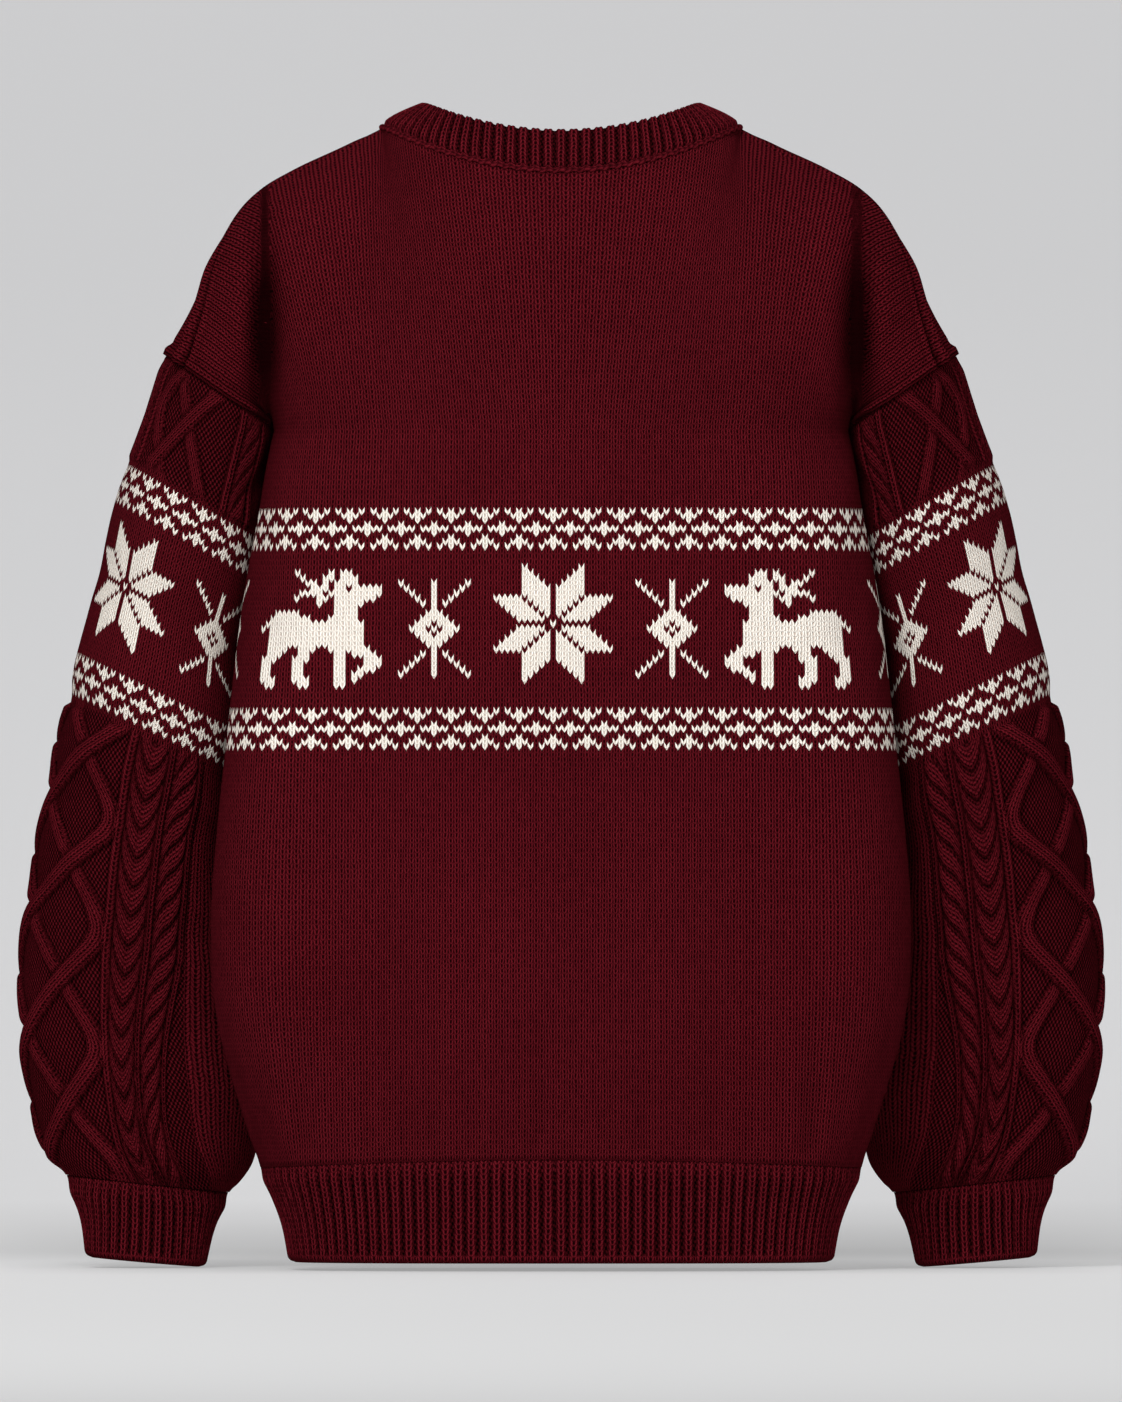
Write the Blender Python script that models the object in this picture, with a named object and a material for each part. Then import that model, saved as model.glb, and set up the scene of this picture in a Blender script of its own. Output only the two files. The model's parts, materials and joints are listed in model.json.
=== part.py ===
"""Christmas sweater, hollow, as it hangs when it is filled out with both arms down.

The wearer's left is +X, the back is +Y and up is +Z. The origin is at the middle of the neck, level with
the shoulder points. Sizes and tables are in millimetres, and MM turns them into metres.
"""

import math
from itertools import pairwise
from typing import NamedTuple

import bmesh
import bpy
from mathutils import Vector
from mathutils.geometry import delaunay_2d_cdt

MM = 0.001

# ---- Walls ----
WALL = 2.6  # plain knit
RIB_WALL = 2.4  # rib, in its valleys
SEAM_GAP = 0.3
RIB_HEIGHT = 2.0
CABLE_HEIGHT = 3.6

# ---- Body: horizontal sections from the underarm down to the hem ----
# z, half width, depth of the back, depth of the front, squareness of the back, of which 2 is an ellipse
BODY = (
    (-184.2, 183.0, 110.0, 116.0, 2.2),
    (-231.0, 186.6, 114.0, 119.0, 2.7),
    (-345.0, 198.6, 121.0, 121.0, 3.0),
    (-453.0, 209.4, 124.0, 122.0, 3.0),
    (-501.0, 210.0, 124.0, 120.0, 3.0),
    (-537.0, 205.8, 121.0, 116.0, 3.0),
    (-573.0, 195.6, 115.0, 110.0, 3.0),
    (-609.0, 183.6, 106.0, 101.0, 3.0),
    (-625.0, 178.8, 102.0, 97.0, 3.0),
    (-642.0, 171.6, 97.0, 92.0, 3.0),
    (-660.0, 165.6, 93.0, 88.0, 3.0),
    (-682.0, 159.0, 89.0, 84.0, 3.0),
)
FRONT_SQUARENESS = 2.2
UNDERARM_Z = BODY[0][0]
RIB_TOP_Z = -620.0
RIB_TOP_DROP = 5.0  # the rib's upper edge is this much lower at the side seams
RIB_TOP_HALF_WIDTH = BODY[8][1]
HEM_Z = BODY[-1][0]
HEM_MIDDLE_Z = -655.0

# Hollow in the body's side where the sleeve lies against it: z, y of its middle, depth
SIDE_HOLLOW = (
    (UNDERARM_Z, 0.0, 14.4),
    (-205.0, -7.0, 16.5),
    (-248.0, -20.0, 12.0),
    (-311.0, -36.0, 9.0),
    (-365.0, -42.0, 8.0),
    (-430.0, -48.0, 10.0),
    (-490.0, -52.0, 14.0),
    (-540.0, -55.0, 9.0),
    (-600.0, -58.0, 0.0),
)
HOLLOW_REACH = 32.0

# ---- Upper body: middle lines from the underarm level to the neck, as share of the way, y, z ----
BACK_MIDDLE = (
    (0.0, 110.0, UNDERARM_Z),
    (0.30, 110.0, -137.0),
    (0.62, 103.0, -87.0),
    (0.84, 91.0, -53.0),
    (1.0, 78.0, -28.0),
)
FRONT_MIDDLE = (
    (0.0, -116.0, UNDERARM_Z),
    (0.35, -115.0, -146.0),
    (0.7, -107.0, -108.0),
    (1.0, -95.0, -75.0),
)
# Shoulder seam from the neck towards the armhole: x, y, z. It ends on the armhole ring.
SHOULDER_SEAM = (
    (107.0, 5.0, -1.0),
    (133.0, 7.0, -14.0),
    (160.0, 10.0, -26.0),
    (180.0, 15.0, -38.0),
    (195.5, 22.0, -55.0),
    (207.5, 32.0, -82.0),
    (214.5, 41.0, -110.0),
)
NECK_SHARE = 0.42  # share of a panel's half width that is neck
FULLNESS = 3.6  # how long the upper body stays full before it turns to the shoulder
ARM_REACH = 3.0  # how close to the armhole the panel starts to follow the arm

# Folds between arm and body on the upper panels: x and z of the middle, depth, reach across, reach along
ARM_FOLDS = (
    (176.0, -128.0, 15.0, 11.0, 46.0),
    (150.0, -150.0, 3.0, 12.0, 40.0),
)
FRONT_FOLD = 0.4  # depth of the front's folds, as a share of the back's

# ---- Neck ring and collar: angle 90 is the back, 0 the left side, -90 the front ----
# side x, side z, back y, back z, front y, front z
NECK_BASE = (107.0, -1.0, 78.0, -28.0, -95.0, -75.0)
NECK_TOP = (82.0, 15.0, 66.0, -2.0, -84.0, -50.0)
NECK_MIDDLE_Y = 5.0
COLLAR_BULGE = 0.03  # share of the neck's width
COLLAR_RIBS = 80
COLLAR_LIFT = 0.03  # share of the collar's height that its lower edge stands clear of the panels

# ---- Sleeve: rings from the armhole to the cuff ----
# x and z of the outermost point, x and z of the innermost point, y of the middle, half depth
SLEEVE = (
    (237.6, -136.2, 168.6, UNDERARM_Z, 0.0, 60.0),
    (258.6, -202.2, 179.4, -247.8, -22.0, 58.0),
    (278.4, -261.0, 186.6, -310.8, -38.0, 60.0),
    (289.8, -318.0, 192.6, -365.4, -50.0, 62.0),
    (306.6, -387.0, 194.4, -436.8, -62.0, 64.0),
    (319.8, -453.0, 183.6, -502.8, -76.0, 67.0),
    (325.8, -516.0, 175.8, -556.2, -86.0, 69.0),
    (323.4, -564.0, 175.8, -592.8, -90.0, 68.0),
    (316.5, -600.0, 181.8, -618.6, -90.0, 61.0),
    (299.4, -630.6, 198.6, -641.4, -89.0, 48.0),
)
CUFF = (
    SLEEVE[-1],
    (288.6, -654.0, 209.4, -660.6, -88.0, 40.0),
    (284.4, -680.4, 216.0, -686.4, -88.0, 36.0),
)
CUFF_RIBS = 38
HEM_RIBS = 122
# where the shoulder seam meets the armhole ring: 0 is outermost, 90 the back, 180 the underarm
SEAM_ANGLE = 50.0
STEP_IN = 1.2  # the sleeve lies this much lower than the drop shoulder that is sewn over it

# ---- Cables of a sleeve, on its flat plan ----
# across: from the seam line, + towards the back; down: from the armhole


class Trellis(NamedTuple):
    """Crossing strands. They cross on the trellis's middle line at `crossing` and at every second `high`."""

    middle: float
    crossing: float
    wide: float  # across from a crossing to the next
    high: float  # down from a crossing to the next
    half: float  # reach on each side of the middle
    strand: float  # half the width of a strand
    top: float
    bottom: float


class Cord(NamedTuple):
    """A raised line down the sleeve, on both sides of the cable panel's middle."""

    off: float  # from the panel's middle
    half_width: float
    height: float
    kind: str  # plain, rope with slanting lobes, or vee with lobes in a V


SLEEVE_TOP = 3 * SEAM_GAP
TOP_TRELLIS = Trellis(0.0, 0.0, 15.0, 30.0, 45.0, 4.5, SLEEVE_TOP + 2.0, 70.0)
LOWER_TRELLIS = Trellis(-38.0, 278.0, 30.5, 34.3, 61.0, 5.5, 222.0, 489.0)
TRELLISES = (TOP_TRELLIS, LOWER_TRELLIS)
CORDS = (
    Cord(67.0, 3.0, 2.2, "plain"),
    Cord(80.5, 10.0, CABLE_HEIGHT, "vee"),
    Cord(93.0, 2.5, 2.2, "plain"),
    Cord(104.0, 8.0, CABLE_HEIGHT, "rope"),
    Cord(114.5, 2.5, 2.2, "plain"),
)
LOBE = 18.4  # length of a cord's lobe
LOBE_CUT = 0.5  # how deep the grooves between lobes are, as a share of the cord's height
EDGE_FADE = 8.0  # length over which cables rise from a sleeve's ends
CABLES_REACH = CORDS[-1].off + CORDS[-1].half_width + 2.0
PANEL_EDGES = {1: LOWER_TRELLIS.middle + CABLES_REACH, -1: LOWER_TRELLIS.middle - CABLES_REACH}
FLAT_EDGES = {1: 120.0, -1: -200.0}  # the underarm seam on the flat plan
STRAND_OVERRUN = 1.0  # strands run on past the trellis's reach
TRELLIS_EDGE = 5.0  # plain knit starts this far past the trellis's reach
GROUND_MARGIN = 6.0  # the plain grid keeps this far from cables

# ---- Fineness of the meshes ----
PANEL_COLUMNS = 9, 8  # on the neck's and the shoulder's share of half a panel
PANEL_ROWS = 9, 8  # below and above the underarm
SLEEVE_COLUMNS = 26
SLEEVE_ROWS = 14
CURVE_SAMPLES = 60  # for lengths along a curve
MERGE = 0.4  # plan points nearer than this become one

MAROON = (0.125, 0.008, 0.018, 1.0)


# ---- Small curves ----


def on_curve(rows, at):
    """The row of a table at a place in its first column, on smooth curves through its rows."""
    keys = [row[0] for row in rows]
    flip = 1 if keys[-1] > keys[0] else -1
    i = next((k for k in range(1, len(rows) - 1) if (keys[k] - at) * flip > 0), len(rows) - 1)
    low, high = rows[i - 1], rows[i]
    before, after = rows[max(i - 2, 0)], rows[min(i + 1, len(rows) - 1)]
    span = high[0] - low[0]
    w = min(max((at - low[0]) / span, 0.0), 1.0)
    ends = (2 * w**3 - 3 * w**2 + 1, 3 * w**2 - 2 * w**3)
    slopes = (w**3 - 2 * w**2 + w, w**3 - w**2)
    found = []
    for a, b, c, d in zip(before[1:], low[1:], high[1:], after[1:]):
        start = (c - a) / (high[0] - before[0]) * span
        end = (d - b) / (after[0] - low[0]) * span
        found.append(ends[0] * b + ends[1] * c + slopes[0] * start + slopes[1] * end)
    return found


def with_lengths(points):
    """Rows of running length and point, for a list of points."""
    rows, run = [(0.0, *points[0])], 0.0
    for a, b in pairwise(points):
        run += (Vector(b) - Vector(a)).length
        rows.append((run, *b))
    return rows


def along(rows, share):
    """The rest of a row at a share of the running length that rows start with."""
    at = share * rows[-1][0]
    i = next((k for k in range(1, len(rows)) if rows[k][0] >= at), len(rows) - 1)
    low, high = rows[i - 1], rows[i]
    w = (at - low[0]) / (high[0] - low[0])
    return [a + (b - a) * w for a, b in zip(low[1:], high[1:])]


def angle_at(point_at, start, end, share):
    """Angle at a share of the length of a curve that is given as a function of an angle."""
    angles = [start + (end - start) * i / CURVE_SAMPLES for i in range(CURVE_SAMPLES + 1)]
    lengths = [row[0] for row in with_lengths([point_at(angle) for angle in angles])]
    return along([(length, angle) for length, angle in zip(lengths, angles)], share)[0]


def near(value, middle, reach):
    """1 at the middle, fading to 0 over the reach on both sides."""
    return math.exp(-(((value - middle) / reach) ** 2))


def power(value, exponent):
    """A power that keeps the sign."""
    return math.copysign(abs(value) ** exponent, value)


def roof(distance, half_width):
    """1 on a cord's middle line, falling to 0 at its edges."""
    return max(0.0, 1.0 - abs(distance) / half_width)


def wrapped(value, period):
    """A value brought into the period around 0."""
    return (value + period / 2) % period - period / 2


# ---- Body surface ----


def section(z, angle):
    """Point of the body's outside at a height and an angle: 0 the left side, 90 the back."""
    half_width, back, front, back_squareness = on_curve(BODY, z)
    across, deep = math.cos(math.radians(angle)), math.sin(math.radians(angle))
    depth, squareness = (back, back_squareness) if deep > 0 else (front, FRONT_SQUARENESS)
    x = half_width * power(across, 2 / squareness)
    y = depth * power(deep, 2 / squareness)
    middle, hollow = on_curve(SIDE_HOLLOW, max(z, SIDE_HOLLOW[-1][0]))
    x -= math.copysign(hollow * near(y, middle, HOLLOW_REACH), x) * min(abs(x) / half_width, 1.0)
    return Vector((x, y, z))


def section_point(z, face, share):
    """Point of a section at a share of the way from the middle of a face to the left side.

    The face is 1 for the back and -1 for the front.
    """
    return section(z, angle_at(lambda angle: section(z, angle), 90.0 * face, 0.0, share))


def neck(angle, rise):
    """Point of the collar's outside at an angle, from the neck seam (0) to the collar's top (1)."""
    ring = [low + (high - low) * rise for low, high in zip(NECK_BASE, NECK_TOP)]
    side_x, side_z, back_y, back_z, front_y, front_z = ring
    across, deep = math.cos(math.radians(angle)), math.sin(math.radians(angle))
    far_y, far_z = (back_y, back_z) if deep > 0 else (front_y, front_z)
    bulge = 1 + COLLAR_BULGE * math.sin(math.pi * rise)
    y = NECK_MIDDLE_Y + (far_y - NECK_MIDDLE_Y) * abs(deep) * bulge
    return Vector((side_x * across * bulge, y, side_z + (far_z - side_z) * deep**2))


def neck_out(angle, rise):
    """Direction out of the collar."""
    around = neck(angle + 0.5, rise) - neck(angle - 0.5, rise)
    return around.cross(neck(angle, 1.0) - neck(angle, 0.0)).normalized()


def sleeve_ring(row, angle):
    """Point of a sleeve ring: 0 is outermost, 90 the back, 180 the underarm."""
    outer_x, outer_z, inner_x, inner_z, middle_y, half_depth = row
    across, deep = math.cos(math.radians(angle)), math.sin(math.radians(angle))
    x = (outer_x + inner_x) / 2 + (outer_x - inner_x) / 2 * across
    z = (outer_z + inner_z) / 2 + (outer_z - inner_z) / 2 * across
    return Vector((x, middle_y + half_depth * deep, z))


def ring_normal(row, angle):
    """Outward direction of a sleeve ring, in its own plane."""
    step = sleeve_ring(row, angle + 0.5) - sleeve_ring(row, angle - 0.5)
    return step.cross(ring_axis(row)).normalized()


def ring_axis(row):
    """Direction of the ring's plane, towards the shoulder."""
    across = Vector((row[0] - row[2], 0.0, row[1] - row[3]))
    return Vector((-across.z, 0.0, across.x)).normalized()


def armhole_angle(face, share):
    """Angle on the armhole ring from the underarm (0) to the shoulder seam (1)."""
    underarm = 180.0 * face
    return underarm + (SEAM_ANGLE - underarm) * share


def armhole(face, share):
    """Point of the armhole from the underarm (0) to the shoulder seam (1)."""
    return sleeve_ring(SLEEVE[0], armhole_angle(face, share))


def shoulder_seam():
    """Rows of running length and point along the left shoulder seam, which ends on the armhole."""
    points = (*SHOULDER_SEAM, armhole(1, 1.0))
    rows = [(i, *point) for i, point in enumerate(points)]
    last = len(points) - 1
    return with_lengths([on_curve(rows, last * i / CURVE_SAMPLES) for i in range(CURVE_SAMPLES + 1)])


SEAM_ROWS = shoulder_seam()


def top_edge(face, share):
    """Point of a panel's upper edge, from the middle of the neck (0) to the armhole (1)."""
    if share < NECK_SHARE:
        return neck(neck_angle(face, share), 0.0)
    return Vector(along(SEAM_ROWS, (share - NECK_SHARE) / (1 - NECK_SHARE)))


def neck_angle(face, share):
    """Angle on the neck ring at a share of a panel's half width."""
    return angle_at(lambda angle: neck(angle, 0.0), 90.0 * face, 0.0, share / NECK_SHARE)


def upper_point(face, share, rise):
    """Point of a panel above the underarm: share across from its middle, rise from underarm to top edge.

    It blends the underarm's section into the top edge, and bends that blend to the panel's middle line and
    to the armhole.
    """
    low, high = section_point(UNDERARM_Z, face, share), top_edge(face, share)
    middle = Vector((0.0, *on_curve(BACK_MIDDLE if face > 0 else FRONT_MIDDLE, rise)))
    middle_low, middle_high = section_point(UNDERARM_Z, face, 0.0), top_edge(face, 0.0)
    arm, arm_low, arm_high = armhole(face, rise), armhole(face, 0.0), armhole(face, 1.0)
    to_arm, to_middle = share**ARM_REACH, (1 - share**2) ** 2
    point = []
    for axis, rising in enumerate((rise, rise**FULLNESS, rise)):
        value = low[axis] + (high[axis] - low[axis]) * rising
        value += to_arm * (arm[axis] - arm_low[axis] - (arm_high[axis] - arm_low[axis]) * rising)
        straight = middle_low[axis] + (middle_high[axis] - middle_low[axis]) * rising
        value += to_middle * (middle[axis] - straight)
        point.append(value)
    x, y, z = point
    fade = min(1.0, 3 * rise, 4 * (1 - rise), 12 * (1 - share))
    inwards = -1.0 if face > 0 else FRONT_FOLD
    for fold_x, fold_z, depth, across, length in ARM_FOLDS:
        y += inwards * depth * near(x, fold_x, across) * near(z, fold_z, length) * fade
    return Vector((x, y, z))


def body_point(face, across, row):
    """Outside point of a panel: across -1 to 1, row 0 to 1 below the underarm and 1 to 2 above it."""
    share = abs(across)
    if row > 1:
        point = upper_point(face, share, row - 1)
    else:
        z = RIB_TOP_Z + (UNDERARM_Z - RIB_TOP_Z) * row
        point = section_point(z, face, share)
        point.z -= RIB_TOP_DROP * (point.x / RIB_TOP_HALF_WIDTH) ** 2 * (1 - row) ** 3
    if across < 0:
        point.x = -point.x
    return point


# ---- Meshes ----


def make_object(name, points, faces):
    """A closed solid with its faces pointing out, from points in millimetres."""
    mesh = bpy.data.meshes.new(name)
    mesh.from_pydata([Vector(p) * MM for p in points], [], faces)
    form = bmesh.new()
    form.from_mesh(mesh)
    bmesh.ops.remove_doubles(form, verts=form.verts, dist=0.01 * MM)
    bmesh.ops.triangulate(form, faces=form.faces, quad_method="SHORT_EDGE")
    bmesh.ops.recalc_face_normals(form, faces=form.faces)
    form.to_mesh(mesh)
    form.free()
    mesh.shade_smooth()
    mesh.set_sharp_from_angle(angle=math.radians(40))
    thing = bpy.data.objects.new(name, mesh)
    thing.data.materials.append(knit_material())
    bpy.context.scene.collection.objects.link(thing)
    return thing


def knit_material():
    """Maroon wool."""
    name = "maroon_wool"
    found = bpy.data.materials.get(name)
    if found:
        return found
    made = bpy.data.materials.new(name)
    made.use_nodes = True
    shader = made.node_tree.nodes["Principled BSDF"]
    shader.inputs["Base Color"].default_value = MAROON
    shader.inputs["Roughness"].default_value = 0.9
    shader.inputs["Metallic"].default_value = 0.0
    return made


def mirrored(name, source):
    """The same solid for the other side of the body."""
    points = [(-v.co.x / MM, v.co.y / MM, v.co.z / MM) for v in source.data.vertices]
    faces = [tuple(reversed(polygon.vertices)) for polygon in source.data.polygons]
    return make_object(name, points, faces)


def grid_faces(columns, rows, start=0, closed=False):
    """Quads of a grid whose points run column by column along each row."""
    count = columns if closed else columns - 1
    faces = []
    for j in range(rows - 1):
        for i in range(count):
            a, b = start + j * columns + i, start + j * columns + (i + 1) % columns
            faces.append((a, b, b + columns, a + columns))
    return faces


def grid_normals(grid):
    """Unit normals of a grid of points."""
    normals = []
    for j, row in enumerate(grid):
        up, down = grid[min(j + 1, len(grid) - 1)], grid[max(j - 1, 0)]
        line = []
        for i in range(len(row)):
            right, left = row[min(i + 1, len(row) - 1)], row[max(i - 1, 0)]
            line.append((right - left).cross(up[i] - down[i]).normalized())
        normals.append(line)
    return normals


def panel_places():
    """Places across half a panel, closer on the neck's share where the edge curves."""
    on_neck, on_shoulder = PANEL_COLUMNS
    places = [NECK_SHARE * i / on_neck for i in range(on_neck)]
    places += [NECK_SHARE + (1 - NECK_SHARE) * i / on_shoulder for i in range(on_shoulder + 1)]
    return [-p for p in reversed(places[1:])] + places


def panel_rows():
    """Rows of a panel from the rib to the upper edge."""
    below, above = PANEL_ROWS
    return [j / below for j in range(below)] + [1 + j / above for j in range(above + 1)]


def seam_normal(face, across, row, normals, i, j):
    """Direction through the wall at an edge of a panel, which its neighbour shares."""
    normal = normals[face][j][i].copy()
    other = normals[-face][j][i]
    if row == 0:
        both = normal + other if abs(across) == 1 else normal
        return Vector((both.x, both.y, 0.0)).normalized()
    if abs(across) == 1 and row == 1:
        return Vector((0.0, 0.0, -1.0))
    if abs(across) == 1 and row > 1:
        normal = ring_normal(SLEEVE[0], armhole_angle(face, row - 1))
    elif abs(across) == 1 or (row == 2 and abs(across) > NECK_SHARE):
        return (normal + other).normalized()
    elif row == 2:
        normal = neck_out(neck_angle(face, abs(across)), 0.0)
    else:
        return normal
    if across < 0:
        normal.x = -normal.x
    return normal


def build_panels():
    """Back and front panels, each from the hem rib to the shoulder seams."""
    places, rows = panel_places(), panel_rows()
    grids = {face: [[body_point(face, p, r) for p in places] for r in rows] for face in (1, -1)}
    normals = {}
    for face, grid in grids.items():
        found = grid_normals(grid)
        normals[face] = [[-n * face for n in line] for line in found]
    for face, name in ((1, "back_panel"), (-1, "front_panel")):
        grid = grids[face]
        through = [
            [seam_normal(face, p, r, normals, i, j) for i, p in enumerate(places)] for j, r in enumerate(rows)
        ]
        outer, inner = [], []
        for j, row in enumerate(grid):
            for i, point in enumerate(row):
                shift = edge_shift(grid, through, i, j)
                outer.append(point + shift)
                inner.append(point + shift - through[j][i] * WALL)
        columns, count = len(places), len(places) * len(rows)
        faces = grid_faces(columns, len(rows))
        faces += [tuple(reversed(f)) for f in grid_faces(columns, len(rows), count)]
        faces += rim_faces(columns, len(rows), count)
        make_object(name, outer + inner, faces)


def edge_shift(grid, through, i, j):
    """Half the seam gap, square to a panel's edge and towards its middle."""
    shift = Vector((0.0, 0.0, 0.0))
    last_row, last_column = len(grid) - 1, len(grid[0]) - 1
    here, out = grid[j][i], through[j][i]
    if i in (0, last_column):
        along_edge = grid[min(j + 1, last_row)][i] - grid[max(j - 1, 0)][i]
        inwards = grid[j][1 if i == 0 else last_column - 1] - here
        shift += square_to(along_edge, out, inwards)
    if j in (0, last_row):
        along_edge = grid[j][min(i + 1, last_column)] - grid[j][max(i - 1, 0)]
        inwards = grid[1 if j == 0 else last_row - 1][i] - here
        shift += square_to(along_edge, out, inwards)
    return shift * SEAM_GAP / 2


def square_to(edge, out, towards):
    """Unit direction square to an edge and to the way out, on the side of a third direction."""
    square = edge.cross(out).normalized()
    return square if square.dot(towards) > 0 else -square


def rim_faces(columns, rows, count):
    """Triangles that close the four edges between an outer grid and an inner grid."""
    edge = list(range(columns))
    edge += [j * columns + columns - 1 for j in range(1, rows)]
    edge += [(rows - 1) * columns + i for i in range(columns - 2, -1, -1)]
    edge += [j * columns for j in range(rows - 2, 0, -1)]
    faces = []
    for a, b in zip(edge, [*edge[1:], edge[0]]):
        faces += [(b, a, a + count), (b, a + count, b + count)]
    return faces


def rib_ring(name, ribs, levels):
    """A ribbed ring. levels are functions of a share round the ring, giving a point and the way out.

    Two outer points make a rib, and one inner point serves two ribs.
    """
    columns, inside = 2 * ribs, ribs // 2
    points, faces = [], []
    for level in levels:
        for i in range(columns):
            point, out = level(i / columns)
            points.append(point + out * RIB_HEIGHT * (1 - i % 2))
    for level in levels:
        for i in range(inside):
            point, out = level(i / inside)
            points.append(point - out * RIB_WALL)
    start = columns * len(levels)
    faces += grid_faces(columns, len(levels), 0, closed=True)
    faces += [tuple(reversed(f)) for f in grid_faces(inside, len(levels), start, closed=True)]
    for row in (0, len(levels) - 1):
        outer, inner = row * columns, start + row * inside
        for k in range(inside):
            a, b = inner + k, inner + (k + 1) % inside
            ring = [outer + (4 * k + n) % columns for n in range(5)]
            fan = [(a, ring[0], ring[1]), (a, ring[1], ring[2]), (a, ring[2], b)]
            fan += [(b, ring[2], ring[3]), (b, ring[3], ring[4])]
            faces += fan if row == 0 else [tuple(reversed(f)) for f in fan]
    return make_object(name, points, faces)


def turning(point_at, way_out):
    """A level for rib_ring: places spread by length round a closed curve, from the middle of the back."""

    def level(share):
        angle = angle_at(point_at, 90.0, 450.0, share)
        return point_at(angle), way_out(angle)

    return level


def build_hem():
    """The ribbed hem, which draws the body in."""

    def level(z, drop=0.0):
        def point_at(angle):
            point = section(z, angle)
            point.z -= drop * (point.x / RIB_TOP_HALF_WIDTH) ** 2
            return point

        def way_out(angle):
            step = section(z, angle + 1) - section(z, angle - 1)
            return step.cross(Vector((0.0, 0.0, 1.0))).normalized()

        return turning(point_at, way_out)

    top = RIB_TOP_Z - SEAM_GAP / 2
    rib_ring("hem_rib", HEM_RIBS, [level(HEM_Z), level(HEM_MIDDLE_Z), level(top, RIB_TOP_DROP)])


def build_collar():
    """The ribbed collar, which stands on the neck edges of both panels."""

    def level(rise):
        return turning(lambda angle: neck(angle, rise), lambda angle: neck_out(angle, rise))

    rib_ring("collar", COLLAR_RIBS, [level(COLLAR_LIFT), level(0.5), level(1.0)])


def build_cuffs():
    """The ribbed cuffs: the left one, and the right one as its mirror image."""

    def level(row):
        return turning(lambda angle: sleeve_ring(row, angle), lambda angle: ring_normal(row, angle))

    levels = [level(lowered(row, SEAM_GAP if row is CUFF[0] else 0.0)) for row in reversed(CUFF)]
    mirrored("cuff_right", rib_ring("cuff_left", CUFF_RIBS, levels))


def lowered(row, distance):
    """A sleeve ring moved down along the sleeve."""
    axis = ring_axis(row) * distance
    outer_x, outer_z, inner_x, inner_z, middle_y, half_depth = row
    return (outer_x - axis.x, outer_z - axis.z, inner_x - axis.x, inner_z - axis.z, middle_y, half_depth)


# ---- Sleeves with cables ----


def ring_middle(row):
    """Middle of a sleeve ring."""
    return Vector(((row[0] + row[2]) / 2, row[4], (row[1] + row[3]) / 2))


SLEEVE_RUN = [
    (length[0], *row) for length, row in zip(with_lengths([ring_middle(row) for row in SLEEVE]), SLEEVE)
]
SLEEVE_LENGTH = SLEEVE_RUN[-1][0]


def sleeve_point(across, down):
    """Point of a sleeve's outside and the way out: across from the seam line, down from the armhole.

    Within the panel of cables, across is a true length round the sleeve. Beyond it, the plain knit takes up
    what the sleeve gains or loses in width.
    """
    row = on_curve(SLEEVE_RUN, down)
    side = 1 if across > 0 else -1
    half = [sleeve_ring(row, angle) for angle in half_angles(side)]
    whole, panel, edge = with_lengths(half)[-1][0], abs(PANEL_EDGES[side]), abs(FLAT_EDGES[side])
    run = abs(across)
    if run > panel:
        run = panel + (run - panel) / (edge - panel) * (whole - panel)
    angle = angle_at(lambda turned: sleeve_ring(row, turned), SEAM_ANGLE, 180.0 * side, min(run / whole, 1.0))
    return sleeve_ring(row, angle), ring_normal(row, angle)


def half_angles(side):
    """Angles from the seam line to the underarm on one side of the sleeve."""
    return [SEAM_ANGLE + (180.0 * side - SEAM_ANGLE) * i / CURVE_SAMPLES for i in range(CURVE_SAMPLES + 1)]


def trellis_height(trellis, across, down):
    """Height of crossing strands, 0 to 1."""
    off = across - trellis.middle
    if abs(off) > trellis.half + 2 * STRAND_OVERRUN:
        return 0.0
    a, b = off / trellis.wide, (down - trellis.crossing) / trellis.high
    scale = 1 / math.hypot(1 / trellis.wide, 1 / trellis.high)
    one, other = wrapped(a - b, 2.0) * scale, wrapped(a + b, 2.0) * scale
    return max(roof(one, trellis.strand), roof(other, trellis.strand))


def lobe_lean(cord, off_share):
    """How far a lobe lies further up at a place across its cord, in lobes."""
    return (off_share if cord.kind == "rope" else abs(off_share)) / 2


def cord_height(cord, across, down):
    """Height of a cord, 0 to 1."""
    off_share = (abs(across - LOWER_TRELLIS.middle) - cord.off) / cord.half_width
    if cord.kind == "plain":
        return roof(off_share, 1.0)
    phase = wrapped(down / LOBE + lobe_lean(cord, off_share), 1.0)
    return math.sqrt(max(0.0, 1 - off_share**2)) * (1 - LOBE_CUT * 2 * abs(phase))


def relief(across, down):
    """Height of the sleeve's outside above plain knit."""
    fade = min(1.0, down / EDGE_FADE, (SLEEVE_LENGTH - down) / EDGE_FADE)
    heights = [0.0]
    for trellis in TRELLISES:
        if trellis.top <= down <= trellis.bottom:
            heights.append(CABLE_HEIGHT * trellis_height(trellis, across, down))
    if LOWER_TRELLIS.top <= down <= LOWER_TRELLIS.bottom:
        heights += [cord.height * cord_height(cord, across, down) for cord in CORDS]
    return fade * max(heights)


def straight(across, top, bottom):
    """A plan line down the sleeve, with enough points to follow its bend."""
    count = max(1, round((bottom - top) / LOBE))
    return [(across, top + (bottom - top) * k / count) for k in range(count + 1)]


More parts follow.
